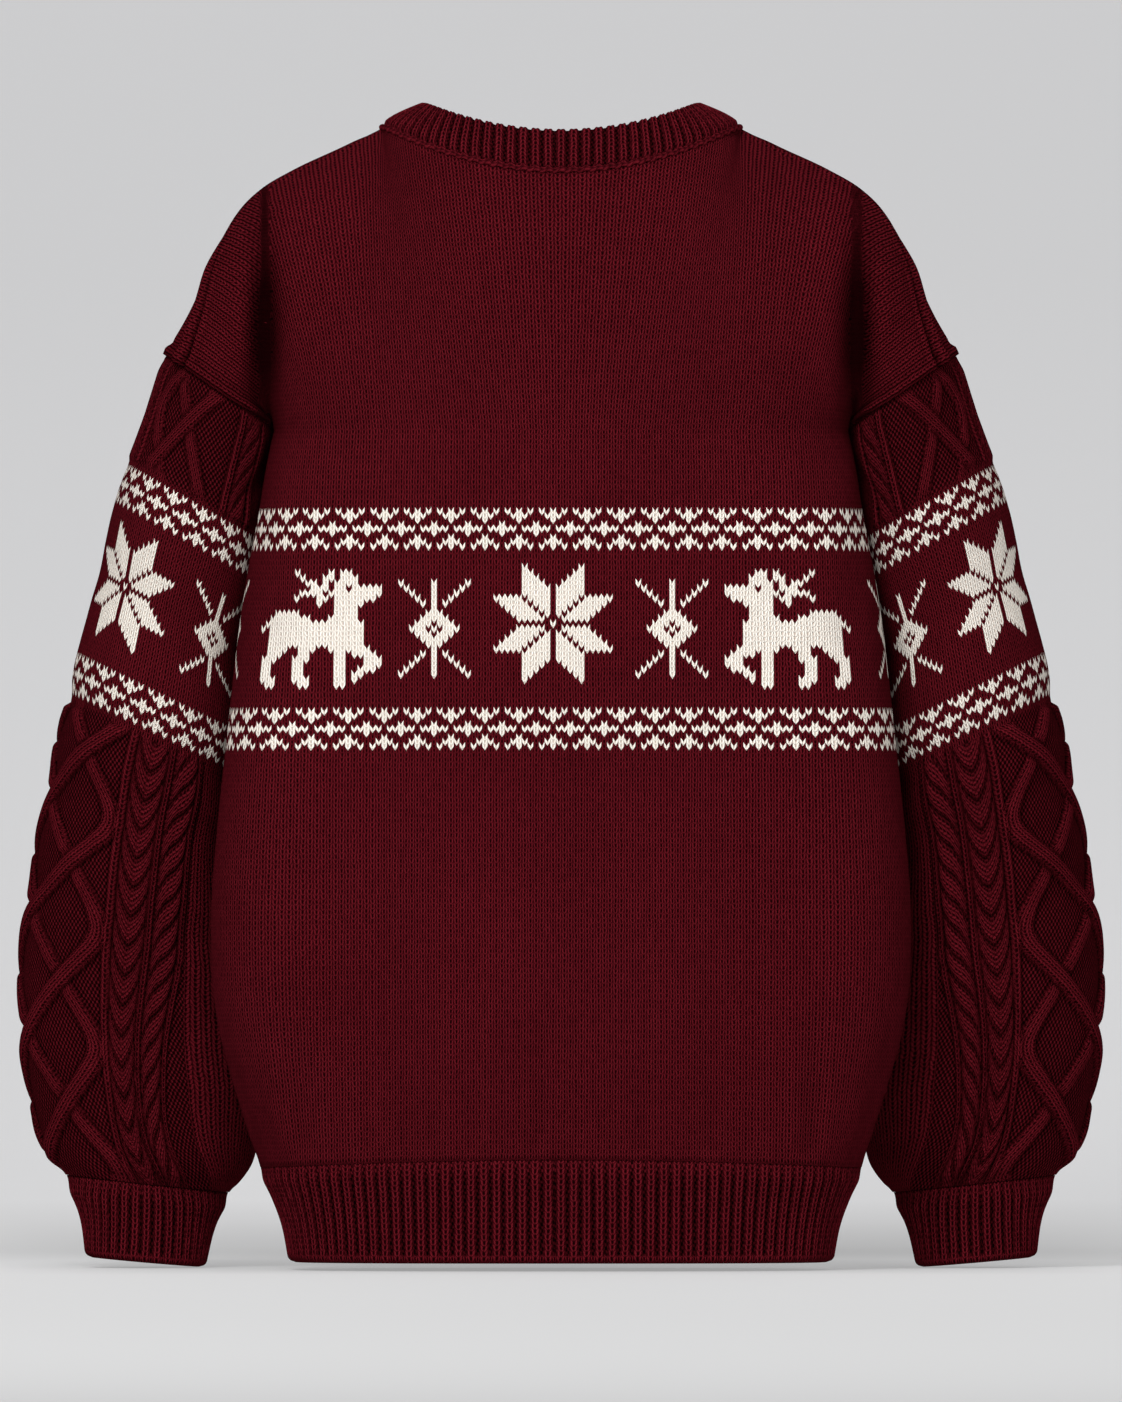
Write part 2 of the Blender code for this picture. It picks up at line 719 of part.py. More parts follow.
def trellis_lines(trellis):
    """Plan lines along the middles and edges of a trellis's strands, and along its two sides."""
    strand_edge = trellis.strand * math.hypot(1 / trellis.wide, 1 / trellis.high)
    first = (trellis.top - trellis.crossing) / trellis.high
    last = (trellis.bottom - trellis.crossing) / trellis.high
    reach = (trellis.half + STRAND_OVERRUN) / trellis.wide
    lines = []
    for k in range(math.floor((first - reach) / 2), math.ceil((last + reach) / 2) + 1):
        for offset in (-strand_edge, 0.0, strand_edge):
            at = 2 * k + offset
            start, end = max(first, at - reach), min(last, at + reach)
            if end - start < 0.1:
                continue
            downs = [trellis.crossing + b * trellis.high for b in (start, end)]
            for turn in (1, -1):
                acrosses = [trellis.middle + turn * (b - at) * trellis.wide for b in (start, end)]
                lines.append(list(zip(acrosses, downs)))
    for side in (1, -1):
        edge = trellis.middle + side * (trellis.half + TRELLIS_EDGE)
        lines.append(straight(edge, trellis.top, trellis.bottom))
    return lines


def diamond_middles(trellis):
    """Plan points in the middles of a trellis's diamonds."""
    first = math.ceil((trellis.top - trellis.crossing) / trellis.high)
    last = math.floor((trellis.bottom - trellis.crossing) / trellis.high)
    most = round(trellis.half / trellis.wide)
    return [
        (trellis.middle + a * trellis.wide, trellis.crossing + b * trellis.high)
        for b in range(first, last + 1)
        for a in range(-most, most + 1)
        if (a + b) % 2
    ]


def cord_lines(cord, side):
    """Plan lines of a cord on one side of the panel: edges, middle, and the crests and grooves of lobes."""
    top, bottom = LOWER_TRELLIS.top, LOWER_TRELLIS.bottom

    def across(off_share):
        return LOWER_TRELLIS.middle + side * (cord.off + off_share * cord.half_width)

    if cord.kind == "plain":
        return [straight(across(share), top, bottom) for share in (-1.0, 0.0, 1.0)]
    lines = [straight(across(share), top, bottom) for share in (-1.0, 1.0)]
    for half_lobe in range(math.ceil(2 * top / LOBE), math.floor(2 * bottom / LOBE) + 2):
        line = [
            (across(share), (half_lobe / 2 - lobe_lean(cord, share)) * LOBE)
            for share in (-1.0, -0.5, 0.0, 0.5, 1.0)
        ]
        if all(top + 1 < down < bottom - 1 for _, down in line):
            lines.append(line)
    return lines


def in_cables(across, down):
    """Whether a place on the sleeve's plan lies among its cables."""
    if down < TOP_TRELLIS.bottom + GROUND_MARGIN:
        return abs(across) < TOP_TRELLIS.half + GROUND_MARGIN
    if down > LOWER_TRELLIS.top - GROUND_MARGIN:
        return abs(across - LOWER_TRELLIS.middle) < CABLES_REACH
    return False


def sleeve_plan(columns, rows):
    """Points and triangles of the sleeve's outside on its flat plan, with edges along all its cables."""
    left, right, top, bottom = columns[0], columns[-1], rows[0], rows[-1]
    lines = [[(left, top), (right, top), (right, bottom), (left, bottom), (left, top)]]
    dots = []
    for trellis in TRELLISES:
        lines += trellis_lines(trellis)
        dots += diamond_middles(trellis)
    for cord in CORDS:
        lines += cord_lines(cord, 1) + cord_lines(cord, -1)
    for down in rows:
        for across in columns:
            if down in (top, bottom) or across in (left, right) or not in_cables(across, down):
                dots.append((across, down))
    plan, edges = [Vector(dot) for dot in dots], []
    for line in lines:
        edges += [(len(plan) + k, len(plan) + k + 1) for k in range(len(line) - 1)]
        plan += [Vector(point) for point in line]
    points, _, triangles, *_ = delaunay_2d_cdt(plan, edges, [], 0, MERGE)
    return points, [tuple(triangle) for triangle in triangles]


def build_sleeve(name):
    """The left sleeve: a tube with raised cables outside and a plain inside."""
    left, right = FLAT_EDGES[-1], FLAT_EDGES[1]
    columns = [left + (right - left) * i / SLEEVE_COLUMNS for i in range(SLEEVE_COLUMNS + 1)]
    rows = [SLEEVE_TOP + (SLEEVE_LENGTH - SLEEVE_TOP) * j / SLEEVE_ROWS for j in range(SLEEVE_ROWS + 1)]
    plan, faces = sleeve_plan(columns, rows)
    points = []
    for across, down in plan:
        point, out = sleeve_point(across, down)
        points.append(point + out * (relief(across, down) - STEP_IN))
    count, width = len(points), len(columns)
    for down in rows:
        for across in columns:
            point, out = sleeve_point(across, down)
            points.append(point - out * (STEP_IN + WALL))
    faces += grid_faces(width, len(rows), count)
    for row, down in ((0, rows[0]), (len(rows) - 1, rows[-1])):
        rim = sorted((place.x, k) for k, place in enumerate(plan) if abs(place.y - down) < 0.01)
        for i, ((_, a), (_, b)) in enumerate(pairwise(rim)):
            inner = count + row * width + i
            faces.append((a, b, inner + 1, inner))
    return make_object(name, points, faces)


def build():
    """The whole sweater."""
    for thing in list(bpy.data.objects):
        bpy.data.objects.remove(thing, do_unlink=True)
    build_panels()
    build_hem()
    build_collar()
    mirrored("sleeve_right", build_sleeve("sleeve_left"))
    build_cuffs()


build()
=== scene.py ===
"""Looks of a knitted Christmas sweater, filled out as if worn, with both arms down.

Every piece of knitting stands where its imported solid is, in the same frame: the wearer's left is +X, the
back is +Y, up is +Z and the origin is in the middle of the neck. Forms are worked out in millimetres, and
MM turns them into metres. Stitches are counted in wales, which run up the cloth, and courses, which run
across it.
"""

import json
import logging
import math
from collections.abc import Callable, Sequence
from dataclasses import dataclass, field
from enum import Enum

import bpy
import numpy as np
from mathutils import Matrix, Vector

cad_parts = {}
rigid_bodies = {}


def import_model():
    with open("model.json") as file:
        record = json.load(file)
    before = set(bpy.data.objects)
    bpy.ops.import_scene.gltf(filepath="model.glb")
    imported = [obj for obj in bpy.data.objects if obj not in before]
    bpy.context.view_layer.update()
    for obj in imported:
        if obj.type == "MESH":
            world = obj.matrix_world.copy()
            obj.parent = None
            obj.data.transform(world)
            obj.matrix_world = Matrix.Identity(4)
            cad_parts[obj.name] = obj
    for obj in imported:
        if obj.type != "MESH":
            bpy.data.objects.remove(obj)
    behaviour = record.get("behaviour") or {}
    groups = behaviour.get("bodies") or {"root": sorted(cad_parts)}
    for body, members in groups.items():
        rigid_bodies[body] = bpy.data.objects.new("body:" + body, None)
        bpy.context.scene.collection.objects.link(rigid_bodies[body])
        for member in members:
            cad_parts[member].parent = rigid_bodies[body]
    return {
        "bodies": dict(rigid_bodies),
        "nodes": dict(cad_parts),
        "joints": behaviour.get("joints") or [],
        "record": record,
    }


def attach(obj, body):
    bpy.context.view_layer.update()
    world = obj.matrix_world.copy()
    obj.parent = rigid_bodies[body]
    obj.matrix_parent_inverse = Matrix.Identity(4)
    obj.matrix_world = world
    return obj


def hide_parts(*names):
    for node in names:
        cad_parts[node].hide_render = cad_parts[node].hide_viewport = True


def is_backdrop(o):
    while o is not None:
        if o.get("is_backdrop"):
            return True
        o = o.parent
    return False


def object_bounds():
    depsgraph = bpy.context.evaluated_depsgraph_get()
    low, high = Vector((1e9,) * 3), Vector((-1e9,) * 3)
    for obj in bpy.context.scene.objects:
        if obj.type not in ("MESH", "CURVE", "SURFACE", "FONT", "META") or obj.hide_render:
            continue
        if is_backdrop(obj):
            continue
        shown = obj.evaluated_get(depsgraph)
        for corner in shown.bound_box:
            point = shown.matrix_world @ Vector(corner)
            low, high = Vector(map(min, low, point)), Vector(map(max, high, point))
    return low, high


MM = 0.001
WALE = 3.36  # width of a stitch
COURSE = 3.0  # height of a stitch
ZIGZAG = 0.9  # how far a stitch's two legs rise from its foot, in courses
FINE = 361  # points that a curve is measured by

Array = np.ndarray
Table = tuple[tuple[float, ...], ...]
Colour = tuple[float, float, float]

log = logging.getLogger("sweater")


# ---- Curves ----


def on_curve(table: Table, at: Array | float) -> Array:
    """Read a table on smooth curves through its rows.

    Args:
        table: rows that start with a key, in rising or falling order.
        at: keys to read the table at.

    Returns:
        The other columns at each key, in a last axis of their own.
    """
    rows, at = np.asarray(table, float), np.asarray(at, float)
    keys = rows[:, 0]
    flip = 1.0 if keys[-1] > keys[0] else -1.0
    i = np.clip(np.searchsorted(flip * keys, flip * at, side="right"), 1, len(rows) - 1)
    low, high = rows[i - 1], rows[i]
    before, after = rows[np.maximum(i - 2, 0)], rows[np.minimum(i + 1, len(rows) - 1)]
    span = high[..., :1] - low[..., :1]
    w = np.clip((at[..., None] - low[..., :1]) / span, 0.0, 1.0)
    start = (high - before)[..., 1:] / (high - before)[..., :1] * span
    end = (after - low)[..., 1:] / (after - low)[..., :1] * span
    ends = (2 * w**3 - 3 * w**2 + 1) * low[..., 1:] + (3 * w**2 - 2 * w**3) * high[..., 1:]
    return ends + (w**3 - 2 * w**2 + w) * start + (w**3 - w**2) * end


def lengths(points: Array) -> Array:
    """Running length along a line of points."""
    return np.concatenate([[0.0], np.cumsum(np.linalg.norm(np.diff(points, axis=0), axis=1))])


def angle_at(point_at: Callable[[Array], Array], start: float, end: float, shares: Array) -> Array:
    """Find angles by their share of the length of a curve.

    Args:
        point_at: the curve's points at an array of angles.
        start: the angle at share 0.
        end: the angle at share 1.
        shares: shares to look up.

    Returns:
        The angle at each share.
    """
    angles = np.linspace(start, end, FINE)
    run = lengths(point_at(angles))
    return np.interp(shares, run / run[-1], angles)


def on_line(points: Array, shares: Array) -> Array:
    """Points at shares of the length of a line of points."""
    run = lengths(points)
    return np.stack([np.interp(shares, run / run[-1], points[:, k]) for k in range(3)], axis=-1)


def near(value: Array, middle: float, reach: float) -> Array:
    """1 at the middle, fading to 0 over the reach on both sides."""
    return np.exp(-(((value - middle) / reach) ** 2))


def wrapped(value: Array, period: float) -> Array:
    """A value brought into the period around 0."""
    return (value + period / 2) % period - period / 2


def eased(value: Array, low: float, high: float) -> Array:
    """0 below low, 1 above high, and a smooth rise between them."""
    w = np.clip((value - low) / (high - low), 0.0, 1.0)
    return w * w * (3 - 2 * w)


def unit(vectors: Array) -> Array:
    """Vectors at length 1."""
    return vectors / np.maximum(np.linalg.norm(vectors, axis=-1, keepdims=True), 1e-12)


def cavity(height: Array, reach: int) -> Array:
    """How far each place of a grid lies below the places round it, in the grid's own unit.

    Args:
        height: the grid.
        reach: how many points away still count as round a place.

    Returns:
        The depths.
    """
    padded = np.pad(height, reach, mode="edge")
    rows, columns = height.shape
    steps = range(2 * reach + 1)
    total = sum(padded[i : i + rows, j : j + columns] for i in steps for j in steps)
    return total / len(steps) ** 2 - height


def degrees(angle: Array) -> tuple[Array, Array]:
    """Cosine and sine of angles in degrees."""
    turn = np.radians(angle)
    return np.cos(turn), np.sin(turn)


# ---- Form of the garment ----


@dataclass(frozen=True)
class Neck:
    """The neck edge and the collar that stands on it, as two rings: 90 is the back and 0 the left side.

    A ring is side x, side z, back y, back z, front y, front z.
    """

    base: tuple[float, ...] = (107.0, -1.0, 78.0, -28.0, -95.0, -75.0)
    top: tuple[float, ...] = (81.0, 13.2, 66.0, -3.4, -84.0, -51.0)
    middle_y: float = 5.0
    bulge: float = 0.03
    rounding: float = 0.9

    def point(self, angle: Array, rise: float) -> Array:
        """Points of the collar's outside.

        Args:
            angle: 90 at the back and 0 on the left side.
            rise: 0 at the neck seam and 1 at the top.

        Returns:
            The points.
        """
        side_x, side_z, back_y, back_z, front_y, front_z = np.asarray(self.base) + rise * (
            np.asarray(self.top) - self.base
        )
        across, deep = degrees(angle)
        far_y, far_z = np.where(deep > 0, back_y, front_y), np.where(deep > 0, back_z, front_z)
        swell = 1 + self.bulge * math.sin(math.pi * min(rise, 1.0))
        y = self.middle_y + (far_y - self.middle_y) * np.abs(deep) * swell
        z = side_z + (far_z - side_z) * deep**2 - self.rounding * rise * near(deep, 0.0, 0.22)
        return np.stack([side_x * across * swell, y, z], axis=-1)

    def out(self, angle: Array, rise: float) -> Array:
        """Directions out of the collar."""
        around = self.point(angle + 0.5, rise) - self.point(angle - 0.5, rise)
        return unit(np.cross(around, self.point(angle, 1.0) - self.point(angle, 0.0)))


@dataclass(frozen=True)
class Body:
    """The filled-out body, from the hem up to the shoulder seams. A face is 1 for the back, -1 for the front.

    sections: z, half width, depth of the back, depth of the front, squareness of the back.
    hollow: z, y of its middle, depth of the hollow where a sleeve lies against the side.
    middles: share of the way from the underarm to the neck, y, z, for each face.
    """

    sections: Table = (
        (-184.2, 183.0, 110.0, 116.0, 2.2),
        (-231.0, 186.6, 114.0, 119.0, 2.7),
        (-345.0, 198.6, 121.0, 121.0, 3.0),
        (-453.0, 209.4, 124.0, 122.0, 3.0),
        (-501.0, 210.0, 124.0, 120.0, 3.0),
        (-537.0, 205.8, 121.0, 116.0, 3.0),
        (-573.0, 195.6, 115.0, 110.0, 3.0),
        (-609.0, 183.6, 106.0, 101.0, 3.0),
        (-625.0, 178.8, 102.0, 97.0, 3.0),
        (-642.0, 171.6, 97.0, 92.0, 3.0),
        (-660.0, 165.6, 93.0, 88.0, 3.0),
        (-682.0, 161.5, 89.0, 84.0, 3.0),
    )
    hollow: Table = (
        (-184.2, 0.0, 14.4),
        (-205.0, -7.0, 16.5),
        (-248.0, -20.0, 12.0),
        (-311.0, -36.0, 9.0),
        (-365.0, -42.0, 8.0),
        (-430.0, -48.0, 10.0),
        (-490.0, -52.0, 14.0),
        (-540.0, -55.0, 9.0),
        (-600.0, -58.0, 0.0),
    )
    back_middle: Table = (
        (0.0, 110.0, -184.2),
        (0.30, 110.0, -137.0),
        (0.62, 103.0, -87.0),
        (0.84, 91.0, -53.0),
        (1.0, 78.0, -28.0),
    )
    front_middle: Table = (
        (0.0, -116.0, -184.2),
        (0.35, -115.0, -146.0),
        (0.7, -107.0, -108.0),
        (1.0, -95.0, -75.0),
    )
    shoulder_seam: Table = (
        (107.0, 5.0, -1.0),
        (133.0, 7.0, -14.0),
        (160.0, 10.0, -26.0),
        (180.0, 15.0, -38.0),
        (195.5, 22.0, -55.0),
        (207.5, 32.0, -82.0),
        (214.5, 41.0, -110.0),
    )
    arm_folds: Table = ((176.0, -128.0, 15.0, 11.0, 46.0), (150.0, -150.0, 3.0, 12.0, 40.0))
    front_fold: float = 0.4
    front_squareness: float = 2.2
    hollow_reach: float = 32.0
    underarm_z: float = -184.2
    rib_top_z: float = -620.0
    rib_top_drop: float = 5.0
    rib_top_half_width: float = 178.8
    neck_share: float = 0.42
    fullness: float = 3.6
    arm_reach: float = 3.0
    softening: float = 0.42
    softening_steps: int = 15
    neck: Neck = Neck()

    def section(self, z: float, angle: Array) -> Array:
        """Points of the outside at a height.

        Args:
            z: the height.
            angle: 0 is the left side and 90 the back.

        Returns:
            The points.
        """
        half_width, back, front, back_squareness = on_curve(self.sections, z)
        across, deep = degrees(angle)
        squareness = np.where(deep > 0, back_squareness, self.front_squareness)
        depth = np.where(deep > 0, back, front)
        share = np.abs(across / half_width) ** squareness + np.abs(deep / depth) ** squareness
        x, y = across * share ** (-1 / squareness), deep * share ** (-1 / squareness)
        middle, depth = on_curve(self.hollow, max(z, self.hollow[-1][0]))
        beside = near(y, middle, self.hollow_reach) * np.minimum(np.abs(x) / half_width, 1)
        x = x - np.sign(x) * depth * beside
        return np.stack([x, y, np.full_like(x, z)], axis=-1)

    def level(self, z: float, face: int, shares: Array) -> Array:
        """Points at a height, at shares of the way from the middle of a face to the left side."""
        angles = angle_at(lambda angle: self.section(z, angle), 90.0 * face, 0.0, shares)
        return self.section(z, angles)

    def quarter(self, z: float, face: int) -> float:
        """Length round a face at a height, from its middle to the left side."""
        return float(lengths(self.section(z, np.linspace(90.0 * face, 0.0, FINE)))[-1])

    def top_edge(self, face: int) -> Array:
        """A fine line along a panel's upper edge, from the middle of the neck to the armhole.

        Args:
            face: 1 for the back and -1 for the front.

        Returns:
            Its points.
        """
        share = np.linspace(0.0, 1.0, 401)
        on_neck = np.minimum(share / self.neck_share, 1.0)
        angles = angle_at(lambda angle: self.neck.point(angle, 0.0), 90.0 * face, 0.0, on_neck)
        seam = np.array([*self.shoulder_seam, self.armhole(face, np.array([1.0]))[0]])
        rows = np.column_stack([np.arange(len(seam)), seam])
        seam = on_curve(rows, np.linspace(0, len(seam) - 1, 61))
        on_seam = on_line(seam, np.clip((share - self.neck_share) / (1 - self.neck_share), 0, 1))
        return np.where(share[:, None] < self.neck_share, self.neck.point(angles, 0.0), on_seam)

    def armhole(self, face: int, shares: Array) -> Array:
        """Points of the armhole from the underarm (0) to the shoulder seam (1)."""
        angles = 180.0 * face + (Arm.seam_angle - 180.0 * face) * shares
        return Arm.ring(np.asarray(Arm.rings[0]), angles)

    def upper(self, face: int, shares: Array, rise: float, edge: Array) -> Array:
        """Points of a panel above the underarm.

        Args:
            face: 1 for the back and -1 for the front.
            shares: places across, from the middle (0) to the armhole (1).
            rise: the way from the underarm (0) to the upper edge (1).
            edge: the panel's upper edge, from top_edge.

        Returns:
            The points, blended between the four sides of the half panel.
        """
        low = self.level(self.underarm_z, face, shares)
        high = self.softened(edge, shares, rise)
        low_middle = self.level(self.underarm_z, face, np.zeros(1))[0]
        middle = np.concatenate([[0.0], on_curve(self.back_middle if face > 0 else self.front_middle, rise)])
        arm, arm_low, arm_high = (self.armhole(face, np.array([w]))[0] for w in (rise, 0.0, 1.0))
        rising = np.array([rise, rise**self.fullness, rise])
        to_arm, to_middle = shares[:, None] ** self.arm_reach, (1 - shares[:, None] ** 2) ** 2
        points = low + (high - low) * rising
        points = points + to_arm * (arm - arm_low - (arm_high - arm_low) * rising)
        points = points + to_middle * (middle - low_middle - (edge[0] - low_middle) * rising)
        fade = np.minimum(min(1.0, 3 * rise, 4 * (1 - rise)), 12 * (1 - shares))
        inwards = -1.0 if face > 0 else self.front_fold
        for fold_x, fold_z, depth, across, length in self.arm_folds:
            dip = near(points[:, 0], fold_x, across) * near(points[:, 2], fold_z, length)
            points[:, 1] += inwards * depth * dip * fade
        return points

    def softened(self, edge: Array, shares: Array, rise: float) -> Array:
        """The upper edge's points, rounded more the further a row lies below it.

        Args:
            edge: the panel's upper edge.
            shares: places across, from the middle (0) to the armhole (1).
            rise: the way from the underarm (0) to the upper edge (1).

        Returns:
            The points.
        """
        window = self.softening * (1 - rise)
        fine = np.linspace(0.0, 1.0, len(edge))
        steps = np.linspace(-window, window, self.softening_steps)
        weights = np.cos(np.linspace(-1, 1, self.softening_steps) * math.pi / 2) ** 2 + 1e-9
        total = np.zeros((len(shares), 3))
        for step, weight in zip(steps, weights):
            limit = np.minimum(np.abs(step), 1 - shares)
            at = shares + np.sign(step) * limit
            for axis in range(3):
                value = np.interp(np.abs(at), fine, edge[:, axis])
                total[:, axis] += weight * (np.where(at < 0, -value, value) if axis == 0 else value)
        return total / weights.sum()


class Arm:
    """The left sleeve's form, on its flat plan: across from the seam line, + to the back, and down.

    A ring is x and z of its outermost point, x and z of its innermost point, y of its middle, half depth.
    """

    rings: Table = (
        (237.6, -136.2, 168.6, -184.2, 0.0, 60.0),
        (258.6, -202.2, 179.4, -247.8, -22.0, 58.0),
        (278.4, -261.0, 186.6, -310.8, -38.0, 60.0),
        (289.8, -318.0, 192.6, -365.4, -50.0, 62.0),
        (306.6, -387.0, 194.4, -436.8, -62.0, 64.0),
        (319.8, -453.0, 183.6, -502.8, -76.0, 67.0),
        (325.8, -516.0, 175.8, -556.2, -86.0, 69.0),
        (323.4, -564.0, 175.8, -592.8, -90.0, 68.0),
        (316.5, -600.0, 181.8, -618.6, -90.0, 61.0),
        (299.4, -630.6, 198.6, -641.4, -89.0, 48.0),
    )
    cuff: Table = (
        (299.4, -630.6, 198.6, -641.4, -89.0, 48.0),
        (288.6, -654.0, 209.4, -660.6, -88.0, 40.0),
        (284.4, -680.4, 216.0, -686.4, -88.0, 36.0),
    )
    seam_angle: float = 50.0
    panel_edges: dict[int, float] = {1: 81.0, -1: -157.0}  # true lengths run this far round the sleeve
    flat_edges: dict[int, float] = {1: 120.0, -1: -200.0}  # the underarm, on the plan

    @staticmethod
    def ring(row: Array, angle: Array) -> Array:
        """Points of a sleeve ring.

        Args:
            row: the ring.
            angle: 0 is outermost, 90 the back and 180 the underarm.

        Returns:
            The points.
        """
        outer_x, outer_z, inner_x, inner_z, middle_y, half_depth = row
        across, deep = degrees(angle)
        x = (outer_x + inner_x) / 2 + (outer_x - inner_x) / 2 * across
        z = (outer_z + inner_z) / 2 + (outer_z - inner_z) / 2 * across
        return np.stack([x, middle_y + half_depth * deep, z], axis=-1)

    @staticmethod
    def axis(row: Array) -> Array:
        """Direction of a ring's plane, towards the shoulder."""
        return unit(np.array([row[3] - row[1], 0.0, row[0] - row[2]]))

    @classmethod
    def out(cls, row: Array, angle: Array) -> Array:
        """Directions out of the sleeve, in a ring's own plane."""
        step = cls.ring(row, angle + 0.5) - cls.ring(row, angle - 0.5)
        return unit(np.cross(step, cls.axis(row)))

    @staticmethod
    def run(rings: Table) -> Array:
        """Rings, each with its distance down the sleeve in front.

        Args:
            rings: the rings, from the top down.

        Returns:
            A table of distances and rings.
        """
        outer_x, outer_z, inner_x, inner_z, middle_y, _ = np.asarray(rings).T
        middles = np.column_stack([(outer_x + inner_x) / 2, middle_y, (outer_z + inner_z) / 2])
        return np.column_stack([lengths(middles), rings])

    @classmethod
    def line(cls, row: Array, across: Array) -> tuple[Array, Array]:
        """Points round a ring, and the ways out there.

        Args:
            row: the ring.
            across: places on the flat plan, from one underarm edge to the other.

        Returns:
            Points and unit directions.
        """
        angles = np.zeros_like(across)
        for side in (1, -1):
            here = (across > 0) == (side > 0)
            start, end = cls.seam_angle, 180.0 * side
            whole = lengths(cls.ring(row, np.linspace(start, end, FINE)))[-1]
            panel, edge = abs(cls.panel_edges[side]), abs(cls.flat_edges[side])
            run = np.abs(across[here])
            run = np.where(run > panel, panel + (run - panel) / (edge - panel) * (whole - panel), run)
            share = np.minimum(run / whole, 1.0)
            angles[here] = angle_at(lambda angle: cls.ring(row, angle), start, end, share)
        return cls.ring(row, angles), cls.out(row, angles)


# ---- Colour work ----


class Chart:
    """Cream stitches of the colour band, by wale and course from the band's middle star."""

    reindeer = (
        ".......X.....X.XX.....",
        "........X...XX.XXX....",
        ".........XX.X.XXXX....",
        "..........XXX.XX.XXXXX",
        "........XXXX.XXXXXXXXX",
        ".......X...XX.XXXXXXX.",
        "...........X..XXXXX...",
        "..............XXXX....",
        "...XXXXX......XXXX....",
        "..XXXXXXXX...XXXXX....",
        ".XXXXXXXXXXXXXXXXXX...",
        "X.XXXXXXXXXXXXXXXXX...",
        "..XXXXXXXXXXXXXXXXX...",
        "..XXXXXXXXXXXXXXXXX...",
        "..XXXXXXXXXXXXXXXXX...",
        "..XXXX..XXX..XXXXXXX..",
        "..XXX...XX....XX.XXXX.",
        ".XXX...XXX....XX...XXX",
        ".XX....XX.....XX...XXX",
        ".XX....XX.....XX..XXX.",
        ".XX....XX.....XX.XX...",
        ".XXX...XXX....XX.X....",
        "..XX....XX....XX......",
    )
    tail_wale: int = 52  # from the middle star
    top_course: int = 10
    border_period: int = 6

    @staticmethod
    def star(wale: Array, course: Array) -> Array:
        """An eight-pointed star, 21 by 23 stitches.

        Args:
            wale: wales from its middle.
            course: courses from its middle.

        Returns:
            Whether the stitches are cream.
        """
        c, r = np.abs(wale), np.abs(course)
        wide = (r >= 1) & (r <= 5) & (c >= r + 1) & (c <= r + 5)
        tall = (c >= 1) & (c <= 5) & (r >= c + 1) & (r <= c + 6)
        return wide | tall | ((c == 0) & (r == 0))

    @staticmethod
    def snowflake(wale: Array, course: Array) -> Array:
        """A diamond with six rays, 13 by 19 stitches.

        Args:
            wale: wales from its middle.
            course: courses from its middle.

        Returns:
            Whether the stitches are cream.
        """
        c, r = np.abs(wale), np.abs(course)
        diamond = (c + r >= 2) & (c + r <= 4)
        rays = ((c == 0) & (r >= 5) & (r <= 9)) | ((c >= 2) & (c <= 6) & (r == c + 3))
        return diamond | rays | (c + r == 0)

    @classmethod
    def border(cls, wale: Array, course: Array) -> Array:
        """Open crowns above and below a row of small crosses, 9 courses high.

        Args:
            wale: wales from the middle star.
            course: courses from the border's middle.

        Returns:
            Whether the stitches are cream.
        """
        c, r = np.abs(wrapped(wale, cls.border_period)), np.abs(course)
        crowns = ((r == 4) & ((c == 0) | (c == 2))) | ((r == 3) & (c <= 1)) | ((r == 2) & (c == 0))
        return crowns | ((r == 1) & (c == 3)) | ((r == 0) & (c >= 1))

    @classmethod
    def deer(cls, wale: Array, course: Array) -> Array:
        """Two reindeer that face the middle star.

        Args:
            wale: wales from the middle star.
            course: courses from it.

        Returns:
            Whether the stitches are cream.
        """
        rows = np.array([[mark == "X" for mark in row] for row in cls.reindeer])
        k, j = cls.tail_wale - np.abs(wale), cls.top_course - course
        inside = (k >= 0) & (k < rows.shape[1]) & (j >= 0) & (j < rows.shape[0])
        return inside & rows[np.clip(j, 0, rows.shape[0] - 1), np.clip(k, 0, rows.shape[1] - 1)]


